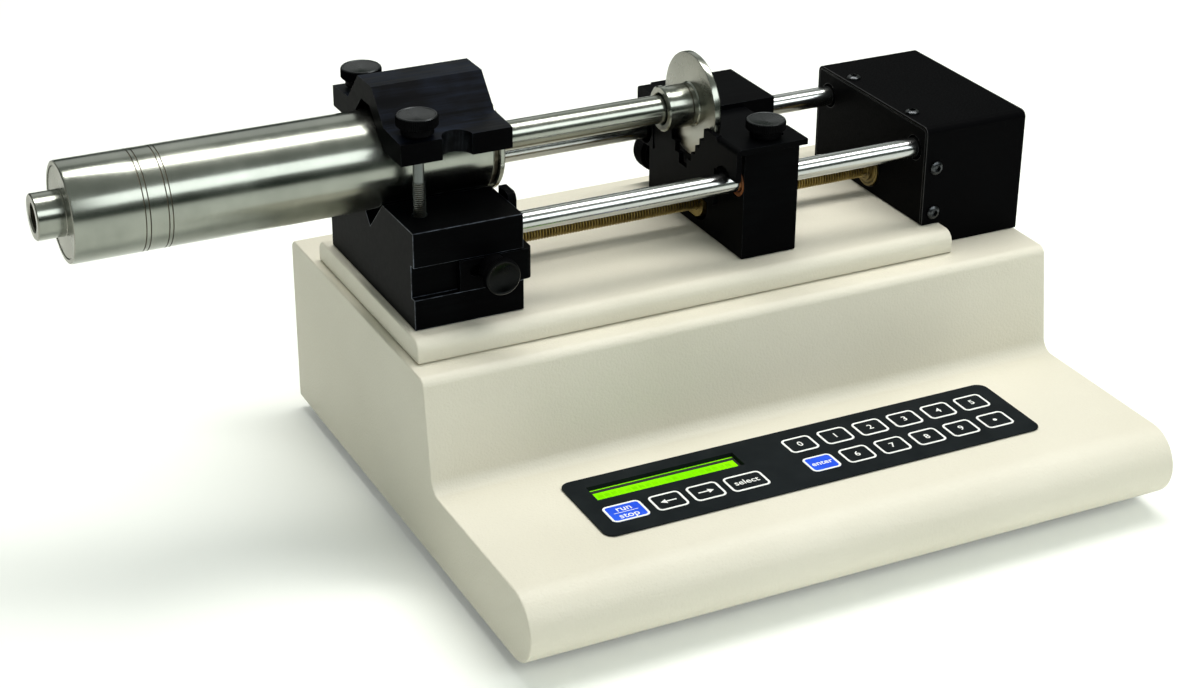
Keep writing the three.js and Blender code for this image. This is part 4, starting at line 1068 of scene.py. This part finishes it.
for name, r in zip(("bush_front", "bush_rear"), rods):
    b = B[name]
    outer, inner, edge = b.high / 2, 4.55, 0.4
    profile = [(inner, b.x0 + edge), (inner + edge, b.x0), (outer - edge, b.x0), (outer, b.x0 + edge)]
    profile += [(outer, b.x1 - edge), (outer - edge, b.x1), (inner + edge, b.x1), (inner, b.x1 - edge)]
    sleeve = turned("x", r.on_x, profile, 72)
    show_turned(f"sleeve_{name}", sleeve, name, bronze, pivot=(0, r.cy, r.cz))

ring = prism("x", long_hole(NUT_R, AXIS_Y, AXIS_Y + NUT_ROOM, screw.cz), nut.x0, nut.x1)
bore = long_hole(screw.high / 2 + 0.3, AXIS_Y, AXIS_Y + NUT_ROOM, screw.cz)
ring = cut(ring, prism("x", bore, nut.x0 - 1, nut.x1 + 1))
show("split_nut", soften(ring, 0.3, 2, 50), "half_nut", screw_brass, brass)

b = button
STEM_R, HUB_R, KNOB_R = 3.0, 7.0, 9.0
profile = [(0, b.y0), (STEM_R - 0.3, b.y0), (STEM_R, b.y0 + 0.3)]
profile += from_end(b.y1, [(STEM_R, 8.5), (HUB_R, 8.5), (HUB_R, 7.5), (KNOB_R - 0.3, 7.2), (KNOB_R, 6.8),
                           (KNOB_R, 0.8), (8.6, 0.3), (7.9, 0), (6.6, 0), (6.2, 0.5), (0, 0.8)], -1)
grip = knurl(60, 0.4)
solid = turned("y", b.on_y, profile, 240, lambda turn, d, r: grip(turn, d, r) if r > 8.8 else 0)
show_turned("release_knob", solid, "release_button", knob_side, pivot=(b.cx, 0, b.cz))

# The plunger's retainer is bent from sheet: a leg on the pusher's top and a stepped V behind the flange.
pp = B["plunger_retainer"]
SHEET = 2.2
PLATE_FRONT, PLATE_FOOT, LEG_BACK = 106.2, 118.6, 121.6
leg_bottom = FRONT_TOP + 0.3
inside = pp.x0 + SHEET
bend = fillet([(pp.x1, leg_bottom), (pp.x1, pp.z1), (pp.x0, pp.z1, SHEET), (pp.x0, PLATE_FOOT),
               (inside, PLATE_FOOT), (inside, leg_bottom)], 8)
leg = prism("y", bend, pp.y0, LEG_BACK)
notch_y = rods[0].cy + 7.5
below_bend, crest = pp.z1 - 2.4, pp.z1 - 0.01
face = fillet([(PLATE_FRONT, PLATE_FOOT), (notch_y, PLATE_FOOT), (notch_y, pp.z0, 1.5),
               (pp.y1, pp.z0, 11), (pp.y1, 124, 3), (pp.y1 - 8, 130, 4),
               (AXIS_Y - 20, crest, 2), (LEG_BACK + 1, crest),
               (LEG_BACK - 1, below_bend), (PLATE_FRONT, below_bend)], 8)
slot_shape = rounded_rect(plate_knob.cx - SLOT_HALF, plate_knob.cx + 8, plate_knob.cy - SLOT_HALF,
                          plate_knob.cy + SLOT_HALF, SLOT_R)
plate_solid = cut(join(leg, prism("x", face, pp.x0, inside)),
                  prism("x", stepped_v(16.8, 130.6, 4.1, pp.z1 + 1), pp.x0 - 1, pp.x0 + SHEET + 1),
                  rod("x", rods[0].on_x, 7.2, pp.x0 - 1, pp.x0 + SHEET + 1, 0, 72),
                  prism("z", slot_shape, leg_bottom - 1, pp.z1 + 1))
plate_solid = soften(plate_solid, 0.22, 2, 40)
show("plunger_plate_shaped", plate_solid, "plunger_retainer", anodised_block, bevel_wear_and_highlight)

k = plate_knob
seat = pp.z1 + 0.3
head = knob_head("z", k.on_z, seat, k.z1, k.wide / 2, 0.9, 68, 1.6, 4.0)
head = join(head, rod("z", k.on_z, 2, k.z0, seat + 0.5, 0.3, 40))
head = paint(head, 1, lambda c, n: n.z > 0.55 and c.z > k.z1 - FACE_DEPTH)
show("plunger_plate_knob_head", head, "plunger_retainer_knob", knob_side, top_z, pivot=(k.cx, k.cy, 0))


# ---- motor box
cover, end_plate, bearing = B["motor_cover"], B["motor_end_plate"], B["screw_bearing"]
COVER_R, COVER_SHEET = 3.0, 1.2


def cover_outline(inset, floor):
    """The motor box seen along X, drawn in by the inset, down to a floor."""
    r, y0, y1, top = COVER_R - inset, cover.y0 + inset, cover.y1 - inset, cover.z1 - inset
    return fillet([(y0, floor), (y1, floor), (y1, top, r), (y0, top, r)], 8)


solid = prism("x", cover_outline(0, cover.z0), cover.x0, cover.x1)
solid = soften(solid, 0.6, 3, 60, lambda c: c.x > cover.x1 - 0.01, bevel_material=False)
solid = cut(solid,
            prism("x", cover_outline(COVER_SHEET, cover.z0 - 1), cover.x0 - 1, cover.x1 - COVER_SHEET),
            block(cover.x0 - 1, deck.x1 + 0.3, deck.y0 - 5, deck.y1 + 5, cover.z0 - 1, deck.z1 + 0.3))
solid = soften(solid, 0.2, 2, 60, lambda c: c.x < cover.x0 + 0.01)
show("cover", solid, "motor_cover", black_coat, coat_bevel_wear_and_highlight)

PANEL_ROD_HOLE, RING_HOLE = 5.2, 8.6
ends = (end_plate.x0 - 1, end_plate.x1 + 1)
panel = prism("x", cover_outline(COVER_SHEET + 0.3, deck.z1 + 0.3), end_plate.x0, end_plate.x1)
panel = cut(panel, *[rod("x", r.on_x, PANEL_ROD_HOLE, *ends) for r in rods],
            rod("x", SCREW_LINE, RING_HOLE, *ends, 0, 72))
show("end_panel", soften(panel, 0.25, 2, 40), "motor_end_plate", black_coat, coat_bevel_wear_and_highlight)

RINGS = [(3.0, 2.2), (3.5, 2.2), (3.7, 1.9), (4.3, 1.9), (4.5, 2.2), (5.6, 2.2),
         (5.7, 1.2), (6.6, 1.0), (7.0, 0.7), (7.3, 0.9), (8.1, 0.9), (8.4, 0.6)]
profile = from_end(end_plate.x0, RINGS, -1)
profile += [(8.4, bearing.x1), (3.0, bearing.x1)]
show_turned("bearing_ring", turned("x", SCREW_LINE, profile, 96), "screw_bearing", brass, pivot=ON_SCREW)

TOP_SCREW_X, SIDE_SCREW_X, SUNK = 236.0, 237.0, 0.05
for number, y in enumerate((AXIS_Y + 21.2, AXIS_Y - 24.2)):
    socket_screw(f"cover_top_screw_{number}", "motor_cover", "z", (TOP_SCREW_X, y, cover.z1 - SUNK), 1)
for number, z in enumerate((108.0, 88.3)):
    for side, y, way in (("front", cover.y0 + SUNK, -1), ("rear", cover.y1 - SUNK, 1)):
        socket_screw(f"cover_{side}_screw_{number}", "motor_cover", "y", (SIDE_SCREW_X, z, y), way)


# ---- pieces kept from the CAD
for name, looks in (("switch_board", board), ("control_board", board), ("piston", plastic),
                    ("screw_gear", brass), ("motor_pinion", zinc), ("stepper_motor", zinc)):
    carry(name, looks)


# ---- floor, lights and camera
FLOOR_REACH = 6
floor_mesh = bpy.data.meshes.new("floor")
floor_bm = bmesh.new()
bmesh.ops.create_grid(floor_bm, x_segments=1, y_segments=1, size=FLOOR_REACH)
floor_bm.to_mesh(floor_mesh)
floor_bm.free()
floor = bpy.data.objects.new("floor", floor_mesh)
floor_mesh.materials.append(surface("pale_floor", (0.88, 0.9, 0.85), 0.9,
                                    **{"Emission Color": (1, 1, 1, 1), "Emission Strength": 0.12}))
link(floor)

# The studio's walls are dark at the horizon and pale above it.
world = bpy.data.worlds.new("studio")
bpy.context.scene.world = world
world.use_nodes = True
backdrop = world.node_tree.nodes["Background"]
direction = node(world.node_tree, "ShaderNodeTexCoord").outputs["Generated"]
height = node(world.node_tree, "ShaderNodeSeparateXYZ", {"Vector": direction}).outputs["Z"]
sky = ramp(world.node_tree, height, rgb(46, 58, 50), rgb(154, 160, 154), 0.14, 0.45)
world.node_tree.links.new(sky, backdrop.inputs["Color"])


def softbox(name, place, target, width, height, power, colour=(1, 1, 1)):
    """A soft rectangular light. Its place, target and size are in metres."""
    light = bpy.data.lights.new(name, "AREA")
    light.shape = "RECTANGLE"
    light.size, light.size_y = width, height
    light.energy = power
    light.color = colour
    obj = bpy.data.objects.new(name, light)
    obj.location = place
    obj.rotation_euler = (Vector(target) - Vector(place)).to_track_quat("-Z", "Y").to_euler()
    link(obj)


softbox("overhead", (0.38, 0.17, 1.45), (0.34, 0.1, 0.0), 1.5, 0.45, 20.5, (1.0, 0.985, 0.955))
softbox("front", (0.42, -1.2, 0.98), (0.12, 0.0, 0.1), 1.4, 0.62, 9.2, (0.93, 0.98, 1.0))
softbox("back", (0.2, 1.6, 1.1), (0.0, 0.0, 0.1), 2.0, 1.0, 3)

# The camera stands to the left of the front, a little above, where the reference view was taken.
AZIMUTH, ELEVATION, ROLL = math.radians(26.49), math.radians(26.57), math.radians(0.41)
CAMERA_PLACE = Vector((-283.42, -630.42, 472.37))
FOCAL_LENGTH, SENSOR_WIDTH = 70.44, 36
across = math.cos(ELEVATION)
ahead = Vector((math.sin(AZIMUTH) * across, math.cos(AZIMUTH) * across, -math.sin(ELEVATION)))
level = Vector((math.cos(AZIMUTH), -math.sin(AZIMUTH), 0))
upright = level.cross(ahead)
right = math.cos(ROLL) * level + math.sin(ROLL) * upright
up = -math.sin(ROLL) * level + math.cos(ROLL) * upright
lens = bpy.data.cameras.new("camera")
lens.lens, lens.sensor_width, lens.sensor_fit = FOCAL_LENGTH, SENSOR_WIDTH, "HORIZONTAL"
camera = bpy.data.objects.new("camera", lens)
facing = Matrix((right, up, -ahead)).transposed().to_4x4()
camera.matrix_world = Matrix.Translation((CAMERA_PLACE + ORIGIN) / 1000) @ facing
link(camera)
bpy.context.scene.camera = camera
bpy.context.scene.view_settings.view_transform = "Standard"
